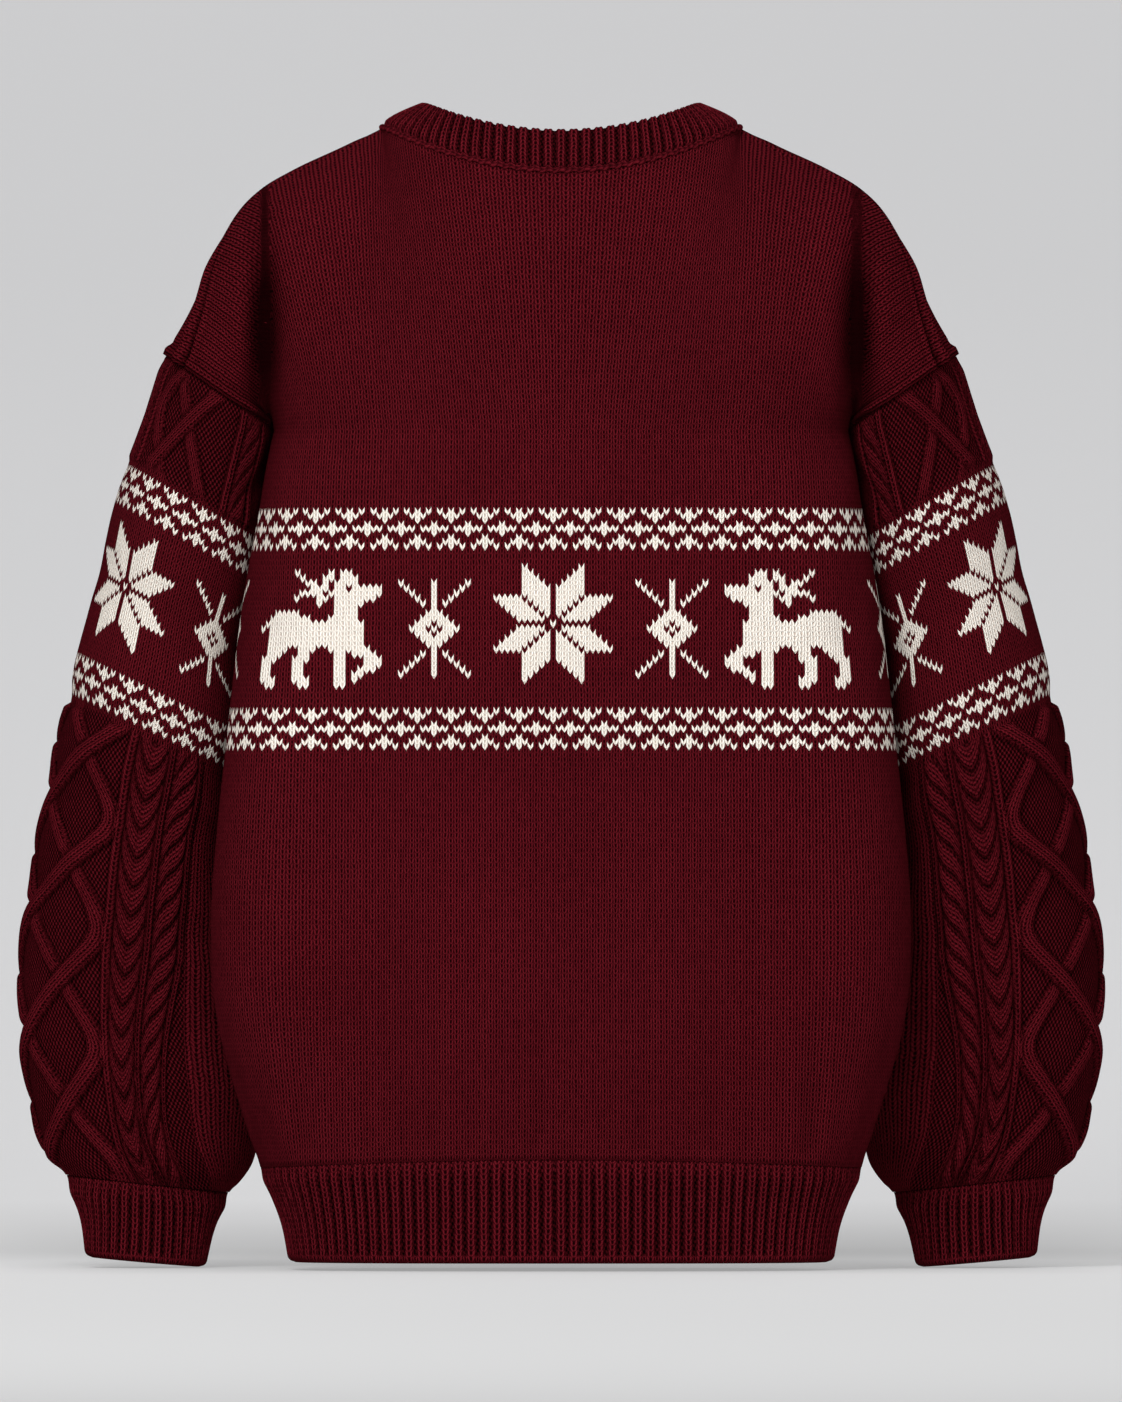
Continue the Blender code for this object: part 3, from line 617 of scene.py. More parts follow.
@dataclass(frozen=True)
class Band:
    """The band of colour work round one piece.

    upper, lower: courses of the borders' middles, from the star's.
    stars, flakes: wales of their middles.
    heights: course, height above the star's middle; the borders' stitches are flatter than the others.
    """

    upper: int = 19
    lower: int = -21
    stars: tuple[int, ...] = (0,)
    flakes: tuple[int, ...] = (-66, -21, 21, 66)
    flake_course: int = -1
    deer: bool = True
    top: float = 25.5
    bottom: float = -27.5
    heights: Table = (
        (-527.5, -1580.0),
        (-27.5, -80.0),
        (-25.5, -74.4),
        (-16.5, -51.0),
        (-11.5, -34.8),
        (11.5, 34.8),
        (14.5, 45.0),
        (23.5, 68.4),
        (25.5, 74.0),
        (525.5, 1574.0),
    )

    def cream(self, wale: Array, course: Array) -> Array:
        """Whether stitches are cream.

        Args:
            wale: wales from the middle star.
            course: courses from it.

        Returns:
            Whether each stitch is cream.
        """
        found = Chart.border(wale, course - self.upper) | Chart.border(wale, course - self.lower)
        for middle in self.stars:
            found |= Chart.star(wale - middle, course)
        for middle in self.flakes:
            found |= Chart.snowflake(wale - middle, course - self.flake_course)
        if self.deer:
            found |= Chart.deer(wale, course)
        return found

    def height(self, course: Array) -> Array:
        """Height of courses above the star's middle."""
        keys, values = np.asarray(self.heights).T
        return np.interp(course, keys, values)

    def course(self, height: Array) -> Array:
        """Courses at heights above the star's middle."""
        keys, values = np.asarray(self.heights).T
        return np.interp(height, values, keys)

    def marks(self, stitches: Array) -> Array:
        """Cream, as 1 or 0, at the corners of faces, by the stitch that each face lies in.

        Args:
            stitches: wales and courses at the faces' corners.

        Returns:
            The marks.
        """
        wale, course = stitches[..., 0].mean(axis=2), stitches[..., 1].mean(axis=2)
        inside = (course > self.bottom) & (course < self.top)
        stitch = self.cream(np.floor(wale + 0.5).astype(int), np.floor(course + 0.5).astype(int))
        return np.repeat((stitch & inside).astype(float)[..., None], 4, axis=2)

    def zigzag(self, wale: Array, course: Array) -> Array:
        """How far a knot of the grid shifts up, in courses, so that faces are the legs of stitches.

        Args:
            wale: wales of the knots.
            course: their courses.

        Returns:
            The shifts, 0 outside the band.
        """
        inside = (course > self.bottom) & (course < self.top)
        beside = 2 * np.abs(wrapped(wale, 1.0))
        return np.where(inside, ZIGZAG * (beside - 0.5), 0.0)


# ---- Knitted pieces ----


def corners(grid: Array) -> Array:
    """Values of a grid at the four corners of each of its faces, in a third axis."""
    return np.stack([grid[:-1, :-1], grid[:-1, 1:], grid[1:, 1:], grid[1:, :-1]], axis=2)


def between(line: Callable[[float], Array], places: Array) -> Array:
    """Points of a row that rises and falls between two even rows of the cloth.

    Args:
        line: gives an even row's points at its place up or down the cloth.
        places: each point's own place.

    Returns:
        The points, straight between those of the lowest and the highest place.
    """
    low, high = float(places.min()), float(places.max())
    points = line(low)
    if high > low + 0.01:
        points = points + (line(high) - points) * ((places - low) / (high - low))[:, None]
    return points


def closed(cloth: Array, side: int) -> Array:
    """Put a round cloth on its side of the wearer, and its last column on its first.

    Args:
        cloth: the points, made for the left side.
        side: 1 for the left and -1 for the right.

    Returns:
        The points.
    """
    cloth = cloth * [side, 1.0, 1.0]
    cloth[:, -1] = cloth[:, 0]
    return cloth


def placed(name: str, data: bpy.types.ID) -> bpy.types.Object:
    """Put a new object in the scene.

    Args:
        name: its name.
        data: its mesh, light or camera.

    Returns:
        The object.
    """
    thing = bpy.data.objects.new(name, data)
    bpy.context.scene.collection.objects.link(thing)
    return thing


def surface_out(grid: Array) -> Array:
    """Unit normals of a grid of points, by its neighbours."""
    return unit(np.cross(np.gradient(grid, axis=1), np.gradient(grid, axis=0)))


def every(count: int, step: int) -> Array:
    """Each step-th index of a range, with the last one."""
    return np.unique(np.append(np.arange(0, count, step), count - 1))


@dataclass
class Knitting:
    """One knitted piece: a shell with its outside on a fine grid and its lining on a coarser one.

    outside, lining: rows x columns x 3, in millimetres. Where the piece is round, the last column repeats the
        first one.
    stitches: wales and courses at each face's corners.
    yarn: cream, purl, painted shade and painted shade in the gaps between wales, at each face's corners, from
    0 to 1.
    """

    name: str
    slot: str
    outside: Array
    lining: Array
    stitches: Array
    yarn: Array
    round: bool
    keep_rows: int = 4
    keep_columns: int = 4
    # painted shade: the lining and the rims are darkened, as the inside of the shell lies in shade
    lining_yarn: tuple[float, ...] = (0.0, 1.0, 0.35, 0.0)
    rim_yarn: tuple[float, ...] = (0.0, 1.0, 0.3, 0.0)

    def make(self, finish: bpy.types.Material) -> bpy.types.Object:
        """Build the mesh, with its stitches and yarn, and ride it on the sweater.

        Args:
            finish: the knit's material.

        Returns:
            The new object.
        """
        rows, columns = self.outside.shape[:2]
        kept_rows, kept_columns = every(rows, self.keep_rows), every(columns, self.keep_columns)
        lining = self.lining[kept_rows][:, kept_columns]
        outer = self.numbered(rows, columns, 0)
        count = int(outer.max()) + 1
        inner = self.numbered(len(kept_rows), len(kept_columns), count)
        last = -1 if self.round else None
        points = np.concatenate([self.outside[:, :last].reshape(-1, 3), lining[:, :last].reshape(-1, 3)])
        loops = Loops()
        outer_map, inner_map, rims = self.maps(rows, columns, kept_rows, kept_columns)
        loops.add_quads(corners(outer), self.stitches, self.yarn, corners(outer_map))
        backs = self.stitches[kept_rows[:-1]][:, kept_columns[:-1]]
        inside_yarn = np.broadcast_to(self.lining_yarn, (*backs.shape[:3], 4))
        loops.add_quads(
            corners(inner)[:, :, ::-1],
            backs[:, :, ::-1],
            inside_yarn,
            corners(inner_map)[:, :, ::-1],
        )
        for at_end, strip in zip((0, -1), rims[:2]):
            self.rim(loops, outer[at_end], inner[at_end], kept_columns, at_end == 0, strip)
        if not self.round:
            for at_end, strip in zip((0, -1), rims[2:]):
                self.rim(loops, outer[:, at_end], inner[:, at_end], kept_rows, at_end == -1, strip)
        return loops.make(self.name, points, finish, self.slot)

    def numbered(self, rows: int, columns: int, start: int) -> Array:
        """Numbers of a grid's points, with the first column again at the end of a round piece.

        Args:
            rows: rows of the grid.
            columns: its columns, with the repeated one.
            start: the first number.

        Returns:
            The numbers, by row and column.
        """
        if not self.round:
            return start + np.arange(rows * columns).reshape(rows, columns)
        numbers = start + np.arange(rows * (columns - 1)).reshape(rows, columns - 1)
        return np.concatenate([numbers, numbers[:, :1]], axis=1)

    def maps(self, rows: int, columns: int, kept_rows: Array, kept_columns: Array) -> tuple:
        """Places of the outside, the lining and the rims on one flat map, in true proportion.

        Args:
            rows: not used.
            columns: not used.
            kept_rows: rows that the lining keeps.
            kept_columns: columns that the lining keeps.

        Returns:
            Map places of the outside and of the lining, and the four rims' strips.
        """
        steps = (np.linalg.norm(np.diff(self.outside, axis=k), axis=2).mean(1 - k) for k in (0, 1))
        down, over = (np.concatenate([[0.0], np.cumsum(step)]) for step in steps)
        down, over, wide = down / down[-1], over / over[-1], over[-1] > 2 * down[-1]
        low_end, high_end = 0.004, 0.996
        outer_box = (low_end, high_end, 0.26, high_end) if wide else (low_end, 0.74, low_end, high_end)
        inner_box = (low_end, high_end, low_end, 0.12) if wide else (0.75, high_end, low_end, 0.5)

        def grid(box: tuple[float, ...], q: Array, p: Array) -> Array:
            """Map places of a grid in a box.

            Args:
                box: left, right, low and high side.
                q: shares of the way up.
                p: shares of the way across.

            Returns:
                The places, by row and column.
            """
            left, right, low, high = box
            x = np.broadcast_to(left + (right - left) * p, (len(q), len(p)))
            y = np.broadcast_to((low + (high - low) * q)[:, None], (len(q), len(p)))
            return np.stack([x, y], axis=-1)

        first, step = (0.135, 0.03) if wide else (0.53, 0.06)
        left, right = inner_box[:2]
        rims = [(left, right, first + k * step, first + (k + 0.6) * step) for k in range(4)]
        return grid(outer_box, down, over), grid(inner_box, down[kept_rows], over[kept_columns]), rims

    def rim(
        self, loops: "Loops", outer: Array, inner: Array, kept: Array, backwards: bool, strip: tuple
    ) -> None:
        """Close one edge of the shell with faces from its outside to its lining.

        Args:
            loops: the mesh in the making.
            outer: numbers of the outside's points along the edge.
            inner: numbers of the lining's points along the edge.
            kept: which points of the outside the lining keeps.
            backwards: whether the outside's points run backwards round a face.
            strip: the edge's box on the flat map.
        """
        left, right, low, high = strip
        total = len(outer) - 1
        for k in range(len(kept) - 1):
            a, b = kept[k], kept[k + 1]
            on_outer = np.arange(a, b + 1)
            if backwards:
                on_outer = on_outer[::-1]
            on_inner = [k, k + 1] if backwards else [k + 1, k]
            places = np.concatenate([on_outer, [kept[i] for i in on_inner]]) / total
            ups = np.array([high] * len(on_outer) + [low] * 2)
            numbers = np.concatenate([outer[on_outer], inner[on_inner]])
            edge_map = np.column_stack([left + (right - left) * places, ups])
            stitches = np.column_stack([places * total * 0.5, ups * 0])
            loops.add_face(numbers, stitches, np.asarray(self.rim_yarn), edge_map)


@dataclass
class Loops:
    """Faces of a mesh in the making, as one list of corners."""

    numbers: list[Array] = field(default_factory=list)
    sizes: list[Array] = field(default_factory=list)
    stitches: list[Array] = field(default_factory=list)
    yarn: list[Array] = field(default_factory=list)
    places: list[Array] = field(default_factory=list)

    def add_quads(self, numbers: Array, stitches: Array, yarn: Array, places: Array) -> None:
        """Add a grid's faces, from arrays of rows x columns x 4 corners.

        Args:
            numbers: the points.
            stitches: wales and courses.
            yarn: cream, purl, painted shade and painted shade between wales.
            places: places on the flat map.
        """
        self.numbers.append(numbers.reshape(-1))
        self.sizes.append(np.full(numbers.size // 4, 4))
        self.stitches.append(stitches.reshape(-1, 2))
        self.yarn.append(yarn.reshape(-1, 4))
        self.places.append(places.reshape(-1, 2))

    def add_face(self, numbers: Array, stitches: Array, yarn: Array, places: Array) -> None:
        """Add one face.

        Args:
            numbers: its points.
            stitches: their wales and courses.
            yarn: cream, purl, painted shade and painted shade between wales.
            places: their places on the flat map.
        """
        self.numbers.append(numbers)
        self.sizes.append(np.array([len(numbers)]))
        self.stitches.append(stitches)
        self.yarn.append(np.broadcast_to(yarn, (len(numbers), 4)))
        self.places.append(places)

    def make(self, name: str, points: Array, finish: bpy.types.Material, slot: str) -> bpy.types.Object:
        """Make an object of the faces and ride it on the sweater.

        Args:
            name: its name.
            points: its points in millimetres.
            finish: its material.
            slot: not used.

        Returns:
            The object, with its faces pointing out.
        """
        numbers, sizes = np.concatenate(self.numbers), np.concatenate(self.sizes)
        values = [np.concatenate(part) for part in (self.stitches, self.yarn, self.places)]
        starts = np.concatenate([[0], np.cumsum(sizes)[:-1]])
        a, b, c = (points[numbers[starts + k]] for k in range(3))
        d = points[numbers[starts + np.minimum(3, sizes - 1)]]
        if (a * np.cross(b, c)).sum() + (a * np.cross(c, d)).sum() < 0:
            numbers, sizes = numbers[::-1], sizes[::-1]
            values = [value[::-1] for value in values]
            starts = np.concatenate([[0], np.cumsum(sizes)[:-1]])
        stitches, yarn, places = values
        mesh = bpy.data.meshes.new(name)
        mesh.vertices.add(len(points))
        mesh.vertices.foreach_set("co", (points * MM).astype(np.float32).ravel())
        mesh.loops.add(len(numbers))
        mesh.loops.foreach_set("vertex_index", numbers.astype(np.int32))
        mesh.polygons.add(len(sizes))
        mesh.polygons.foreach_set("loop_start", starts.astype(np.int32))
        mesh.update(calc_edges=True)
        for layer, where in (("OFBake", places), ("stitch", stitches)):
            mesh.uv_layers.new(name=layer).uv.foreach_set("vector", where.astype(np.float32).ravel())
        # the yarn attribute holds cream, purl, painted shade and painted shade between wales
        marks = mesh.attributes.new("yarn", "FLOAT_COLOR", "CORNER")
        marks.data.foreach_set("color", yarn.astype(np.float32).ravel())
        mesh.validate()
        mesh.shade_smooth()
        mesh.materials.append(finish)
        piece = placed(name, mesh)
        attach(piece, "root")
        log.info("%s: %d faces", name, len(mesh.polygons))
        return piece


@dataclass(frozen=True)
class Crease:
    """A soft trough or ridge along a straight line on a piece's plan.

    start, end: places on the plan, in millimetres.
    depth: its depth; a ridge's is negative.
    width: its reach to each side.
    """

    start: tuple[float, float]
    end: tuple[float, float]
    depth: float
    width: float

    def at(self, across: Array, along: Array) -> Array:
        """How far the cloth sinks, in millimetres.

        Args:
            across: places across the plan.
            along: places along it.

        Returns:
            The depths.
        """
        (x0, y0), (x1, y1) = self.start, self.end
        length = math.hypot(x1 - x0, y1 - y0)
        dx, dy = (x1 - x0) / length, (y1 - y0) / length
        run = (across - x0) * dx + (along - y0) * dy
        side = (across - x0) * dy - (along - y0) * dx
        ends = eased(run, -0.25 * length, 0.3 * length) * (1 - eased(run, 0.7 * length, 1.25 * length))
        return self.depth * ends * near(side, 0.0, self.width)


@dataclass(frozen=True)
class Panel:
    """The back or the front, from the hem rib to the shoulder seams.

    creases: on x and z.
    band_z: height of the band's star.
    wales: half the panel's stitches.
    offset: how far the pattern sits off the panel's middle, in wales.
    spread: wale from the pattern's middle, its distance from there along the cloth.
    """

    name: str
    face: int
    creases: tuple[Crease, ...]
    body: Body = Body()
    band: Band = Band()
    band_z: float = -299.4
    wales: float = 72.0
    offset: float = 1.4
    spread: Table = ((0.0, 0.0), (21.0, 71.2), (31.0, 104.5), (40.0, 138.5), (52.0, 188.0))
    free_from: float = 40.0  # wales beyond this give way where the body's girth changes
    wall: float = 2.6
    rows_below: int = 56
    rows_above: int = 7
    upper_rows: int = 60
    gathers: float = 1.5
    gathers_reach: float = 75.0
    roll: tuple[float, float, float] = (1.0, 4.0, 2.4)  # along the shoulder seam: height, place and reach
    arm_roll: float = 1.4
    seam_depth: float = 0.8
    # the valley beside the arm is darkened with painted shade, and the wales turn along the armhole beyond it
    valley: tuple[float, ...] = (177.5, -124.0, 9.5, 62.0)  # beside the arm: x, z and reach in both
    overlap: float = 1.6  # how far the armhole's edge laps over the sleeve

    def columns(self) -> Array:
        """Wales of the grid's columns, each half stitch.

        Returns:
            The wales.
        """
        low, high = -self.wales - self.offset, self.wales - self.offset
        inside = np.arange(math.ceil(2 * low + 0.3), math.floor(2 * high - 0.3) + 1) / 2
        return np.concatenate([[low], inside, [high]])

    def across(self, wale: Array, z: float) -> Array:
        """Places of wales at a height, from -1 at the right side to 1 at the left side.

        The wales run straight up the face, and those at the sides take up the change in girth.

        Args:
            wale: the wales.
            z: the height.

        Returns:
            The places.
        """
        keys, run = np.asarray(self.spread).T
        middle, usual = self.offset * WALE, self.body.quarter(self.band_z, self.face)
        ends = np.array([-self.wales - self.offset, self.wales - self.offset])
        wales = np.concatenate([ends[:1], -keys[:0:-1], keys, ends[1:]])
        places = np.concatenate([[-usual], middle - run[:0:-1], middle + run, [usual]])
        place = np.interp(wale, wales, places)
        here = self.body.quarter(z, self.face)
        give = eased(np.abs(wale + self.offset), self.free_from, self.wales)
        return np.clip((place + np.sign(place) * (here - usual) * give) / here, -1.0, 1.0)

    def lower_courses(self) -> Array:
        """Courses of the grid's rows below the underarm, each single one in the band.

        Returns:
            The courses.
        """
        start = float(self.band.course(self.body.rib_top_z - self.band_z))
        end = float(self.band.course(self.body.underarm_z - self.band_z))
        below = np.linspace(start, self.band.bottom - 1, self.rows_below)
        band = np.arange(self.band.bottom, self.band.top + 0.5)
        above = np.linspace(self.band.top + 1, end, self.rows_above)
        return np.concatenate([below, band, above])

    def make(self, finish: bpy.types.Material) -> bpy.types.Object:
        """Knit the panel.

        Args:
            finish: the knit's material.

        Returns:
            The new object.
        """
        wale = self.columns()
        across = self.across(wale, self.body.underarm_z)
        grid, courses = self.rows(wale, across)
        out = -self.face * surface_out(grid)
        relief = self.relief(grid, across)
        lap = Arm.axis(np.asarray(Arm.rings[0])) * self.overlap
        lap = lap * eased(grid[:, -1:, 2], self.body.underarm_z, self.body.underarm_z + 25)[..., 0][:, None]
        grid[:, -1] -= lap
        grid[:, 0] -= lap * [-1.0, 1.0, 1.0]
        outside = grid + out * relief[..., None]
        lining = grid - out * (self.wall - np.minimum(relief, 0.0))[..., None]
        slack = self.slack(grid)
        wales = wale * (1 - slack) + self.edge_distances(grid)[1] / (1.25 * WALE) * slack
        stitches = corners(np.stack([wales, courses], axis=-1))
        cream = self.band.marks(corners(np.stack(np.broadcast_arrays(wale, courses), axis=-1)))
        shade, gaps = corners(self.shade(grid, relief)), corners(self.gaps(grid, slack))
        yarn = np.stack([cream, np.zeros_like(shade), shade, gaps * (1 - cream)], axis=-1)
        return Knitting(self.name, "wool", outside, lining, stitches, yarn, False).make(finish)

    def rows(self, wale: Array, across: Array) -> tuple[Array, Array]:
        """Points of the panel's plain form, and the courses there, from the rib up.

        Args:
            wale: wales of the columns.
            across: their places above the underarm, from -1 to 1.

        Returns:
            The points and the courses, by row and column.
        """
        rows, courses = [], []
        for course in self.lower_courses():
            places = course + self.band.zigzag(wale, np.full_like(wale, course))
            rows.append(self.low_row(places, wale))
            courses.append(places)
        edge = self.body.top_edge(self.face)
        for rise in 1 - (1 - np.linspace(0.0, 1.0, self.upper_rows + 1)[1:]) ** 1.4:
            row = self.body.upper(self.face, np.abs(across), rise, edge)
            row[:, 0] *= np.where(across < 0, -1.0, 1.0)
            courses.append(courses[-1] + np.linalg.norm(row - rows[-1], axis=1) / COURSE)
            rows.append(row)
        return np.stack(rows), np.stack(courses)

    def low_row(self, course: Array, wale: Array) -> Array:
        """Points of a zigzag row below the underarm.

        Args:
            course: courses of its knots.
            wale: their wales.

        Returns:
            The points.
        """
        z = self.band_z + self.band.height(course)
        points = between(lambda height: self.level(wale, height), z)
        above_rib, tall = float(z.min()) - self.body.rib_top_z, self.body.underarm_z - self.body.rib_top_z
        up = np.clip(above_rib / tall, 0, 1)
        aside = points[:, 0] / self.body.rib_top_half_width
        points[:, 2] -= self.body.rib_top_drop * aside**2 * (1 - up) ** 3
        return points

    def level(self, wale: Array, z: float) -> Array:
        """Points of all columns at a height.

        Args:
            wale: wales of the columns.
            z: the height.

        Returns:
            The points.
        """
        across = self.across(wale, z)
        points = self.body.level(z, self.face, np.abs(across))
        points[:, 0] *= np.where(across < 0, -1.0, 1.0)
        return points

    def relief(self, grid: Array, across: Array) -> Array:
        """How far the cloth stands out of its plain form, in millimetres.

        Args:
            grid: points of the plain form.
            across: places of the columns, from -1 to 1.

        Returns:
            The heights.
        """
        x, z = grid[..., 0], grid[..., 2]
        height = -sum(crease.at(x, z) for crease in self.creases)
        above_rib = np.maximum(z - self.body.rib_top_z, 0.0)
        waves = np.sin(across * 43 + 1.3) + 0.7 * np.sin(across * 71 + 0.4) + 0.6 * np.sin(across * 25 + 2.2)
        height = height + self.gathers * 0.6 * waves * np.exp(-above_rib / self.gathers_reach)
        height = height * np.minimum(1.0, above_rib / 10.0)
        top, arm = self.edge_distances(grid)
        height = height * eased(top, 0.0, 14.0) * eased(arm, 0.0, 14.0)
        on_shoulder = eased(np.abs(across), self.body.neck_share, self.body.neck_share + 0.06)
        roll, place, reach = self.roll
        roll = roll * (0.15 + 0.85 * eased(-z, 60.0, 95.0) + 0.45 * eased(z, -32.0, -16.0))
        seam = self.seam_depth * near(top, 0.0, 1.4)
        height = height + (roll * near(top, place, reach) - seam) * on_shoulder - seam
        height = height + self.arm_roll * near(arm, 2.6, 2.4) - 0.5 * near(np.minimum(top, arm), 8.0, 2.0)
        return height

    def edge_distances(self, grid: Array) -> tuple[Array, Array]:
        """Distances to the panel's upper edge, and to its armhole edges above the underarm.

        Args:
            grid: points of the plain form.

        Returns:
            Distances to the upper edge and to the nearer armhole.
        """
        steps = np.linalg.norm(np.diff(grid, axis=0), axis=2)
        top = np.concatenate([np.cumsum(steps[::-1], axis=0)[::-1], np.zeros((1, grid.shape[1]))])
        spans = np.linalg.norm(np.diff(grid, axis=1), axis=2)
        from_right = np.concatenate([np.zeros((len(grid), 1)), np.cumsum(spans, axis=1)], axis=1)
        arm = np.minimum(from_right, from_right[:, -1:] - from_right)
        below = np.maximum(self.body.underarm_z + 6.0 - grid[..., 2], 0.0)
        return top, arm + 4 * below

    def slack(self, grid: Array) -> Array:
        """1 beside the sleeve, where the wales run along the armhole, and 0 on the face."""
        beyond = eased(np.abs(grid[..., 0]), self.valley[0] - 2.5, self.valley[0] + 2.5)
        return beyond * eased(grid[..., 2], self.body.underarm_z, self.body.underarm_z + 12)

    def gaps(self, grid: Array, slack: Array) -> Array:
        """Painted shade in the gaps between wales, from 0 to 1.

        Args:
            grid: points of the plain form.
            slack: how far the wales run along the armhole.

        Returns:
            The darkness.
        """
        high = eased(grid[..., 2], -230.0, -60.0)
        aside = eased(np.abs(grid[..., 0]), 70.0, 160.0)
        return np.clip(0.1 + 0.25 * high + 0.12 * aside + 0.8 * slack, 0, 1)

    def shade(self, grid: Array, relief: Array) -> Array:
        """Painted shade, from 0 to 1, along the seams, in the valley beside the sleeve and in hollows of the
        relief.

        Args:
            grid: points of the plain form.
            relief: how far the cloth stands out of it.

        Returns:
            The darkness.
        """
        top, arm = self.edge_distances(grid)
        # painted shade along the seams at the upper edge and at the armhole
        seams = sum(0.75 * near(d, 0.0, 1.9) for d in (top, arm)) + 0.4 * near(arm, 7.0, 1.7)
        # painted shade in the valley beside the sleeve and in the relief's hollows
        x, z, across, length = self.valley
        valley = near(np.abs(grid[..., 0]), x, across) * near(grid[..., 2], z, length)
        hollows = 1.1 * valley + 0.12 * cavity(relief, 5)
        return np.clip(seams + hollows, 0, 1)


@dataclass
class Relief:
    """Raised knitting on a sleeve's plan: height in millimetres, and the stitches' own wales and courses.

    wale is nan where no cord lies, and the stitches there are the ground's. dark is painted shade, from 0 to
    1, in the grooves between and beside the cords.
    """

    height: Array
    wale: Array
    course: Array
    dark: Array

    @classmethod
    def flat(cls, places: Array) -> "Relief":
        """No relief."""
        none = np.zeros_like(places)
        return cls(none, np.full_like(places, np.nan), none, none)

    def lay(self, other: "Relief", where: Array) -> None:
        """Lay other knitting over this where it is higher.

        Args:
            other: the other knitting.
            where: the places that it may cover.
        """
        here = where & (other.height > self.height) & ~np.isnan(other.wale)
        self.height = np.where(here, other.height, self.height)
        self.wale = np.where(here, other.wale, self.wale)
        self.course = np.where(here, other.course, self.course)
        self.dark = np.where(where, np.maximum(self.dark, other.dark), self.dark)


@dataclass(frozen=True)
class Trellis:
    """Crossing strands that turn back at the lattice's two sides.

    middle, crossing: place of a crossing, across and down.
    wide, high: from one crossing to the next.
    half: from the middle to the sides.
    strand: half a strand's width.
    """

    middle: float
    crossing: float
    wide: float
    high: float
    half: float
    strand: float
    top: float
    bottom: float
    height: float = 4.2
    left_out: int = -1  # number of a strand that isn't there
    turn: float = 0.3
    fade: float = 7.0
    strand_wales: float = 3.0

    def read(self, across: Array, down: Array) -> Relief:
        """Read the lattice at places on the sleeve's plan.

        Args:
            across: places across the plan.
            down: places down the plan.

        Returns:
            The raised strands.
        """
        a, b = (across - self.middle) / self.wide, (down - self.crossing) / self.high
        reach = round(self.half / self.wide)
        slope = math.hypot(self.wide, self.high) / self.high
        best = {way: np.full_like(a, 1e9) for way in (1, -1)}
        for strand in set(range(2 * reach)) - {self.left_out}:
            turn = wrapped(b - reach % 2 - 2 * strand, 4.0 * reach)
            path = self.path(np.abs(turn), reach)
            distance = (a - path) * self.wide / slope
            for way in (1, -1):
                closer = (np.sign(turn) == way) & (np.abs(distance) < np.abs(best[way]))
                best[way] = np.where(closer, distance, best[way])
        over, under = best[1] / self.strand, best[-1] / self.strand
        tall, low = (np.sqrt(np.clip(1 - np.abs(side) ** 3, 0, 1)) for side in (over, under))
        low = low * (0.3 + 0.7 * eased(np.abs(over), 0.9, 2.2))
        ends = eased(down, self.top, self.top + self.fade)
        ends = ends * (1 - eased(down, self.bottom - self.fade, self.bottom))
        wale = np.where(tall >= low, over, under) * self.strand_wales / 2
        wale = np.where(np.maximum(tall, low) > 0, wale, np.nan)
        # painted shade in the grooves beside the strands
        beside_over, beside_under = (near(np.abs(side), 1.05, 0.2) for side in (over, under))
        dark = np.maximum(beside_over, beside_under * eased(np.abs(over), 0.8, 1.2)) * 0.75 * ends
        return Relief(self.height * np.maximum(tall, low) * ends, wale, -down * slope / COURSE, dark)

    def path(self, p: Array, reach: int) -> Array:
        """Where a strand runs across, by its way down from its turn, with rounded turns.

        Args:
            p: the way down from a turn, in crossings.
            reach: crossings from the middle to a side.

        Returns:
            Places across, in crossings from the middle.
        """

        def bend(far: Array) -> Array:
            """A way across that starts out flat and soon runs straight."""
            return np.sqrt(far**2 + self.turn**2) - self.turn

        scale = reach / bend(np.float64(reach))
        return np.where(p < reach, reach - scale * bend(p), scale * bend(2 * reach - p) - reach)


class Twist(Enum):
    """How a cord is knitted."""

    PLAIN = 0
    ROPE = 1
    HORSESHOE = 2


@dataclass(frozen=True)
class Cord:
    """A raised cord down the sleeve, on both sides of the cable panel's middle."""

    off: float
    half: float
    height: float
    twist: Twist
    lobe: float = 18.4

    def read(self, beside: Array, down: Array) -> Relief:
        """Read the cord at distances from the panel's middle.

        Args:
            beside: distances from the panel's middle.
            down: places down the plan.

        Returns:
            The raised cord.
        """
        off = (beside - self.off) / self.half
        size = np.clip(np.abs(off), 0, 1)
        inside = np.abs(off) < 1
        # painted shade in the groove beside the cord
        edge = near(np.abs(off), 1.12, 0.9 / self.half)
        if self.twist is Twist.PLAIN:
            height = self.height * np.sqrt(1 - size**4)
            return Relief(height, np.where(inside, off * 0.5, np.nan), -down / COURSE, edge * 0.85)
        if self.twist is Twist.ROPE:
            lean = 0.45 * off + 0.5 * off * size**1.5
            run, gap = off * self.half * 1.4, 0.0
        else:
            lean = 0.5 * size + 0.75 * size**3
            run, gap = -size * self.half * 1.9, near(size, 0.0, 0.1)
        phase = down / self.lobe + lean
        lobe = phase - np.floor(phase)
        rising = np.sqrt(np.clip(1 - np.abs(2 * lobe - 1.06) ** 2.4, 0, 1)) * (0.7 + 0.3 * lobe)
        body = np.sqrt(1 - size**8)
        height = self.height * body * (0.04 + 0.96 * rising) * (1 - 0.35 * gap)
        # painted shade in the grooves between lobes and under each lobe's start
        groove = 0.9 * near(wrapped(phase, 1.0), 0.02, 0.1)
        under = 0.3 * (1 - eased(lobe, 0.0, 0.4))
        dark = np.maximum(np.maximum(groove, under) * inside, 0.7 * edge)
        return Relief(height, np.where(inside, (lobe - 0.5) * 3.0, np.nan), run / COURSE, dark)


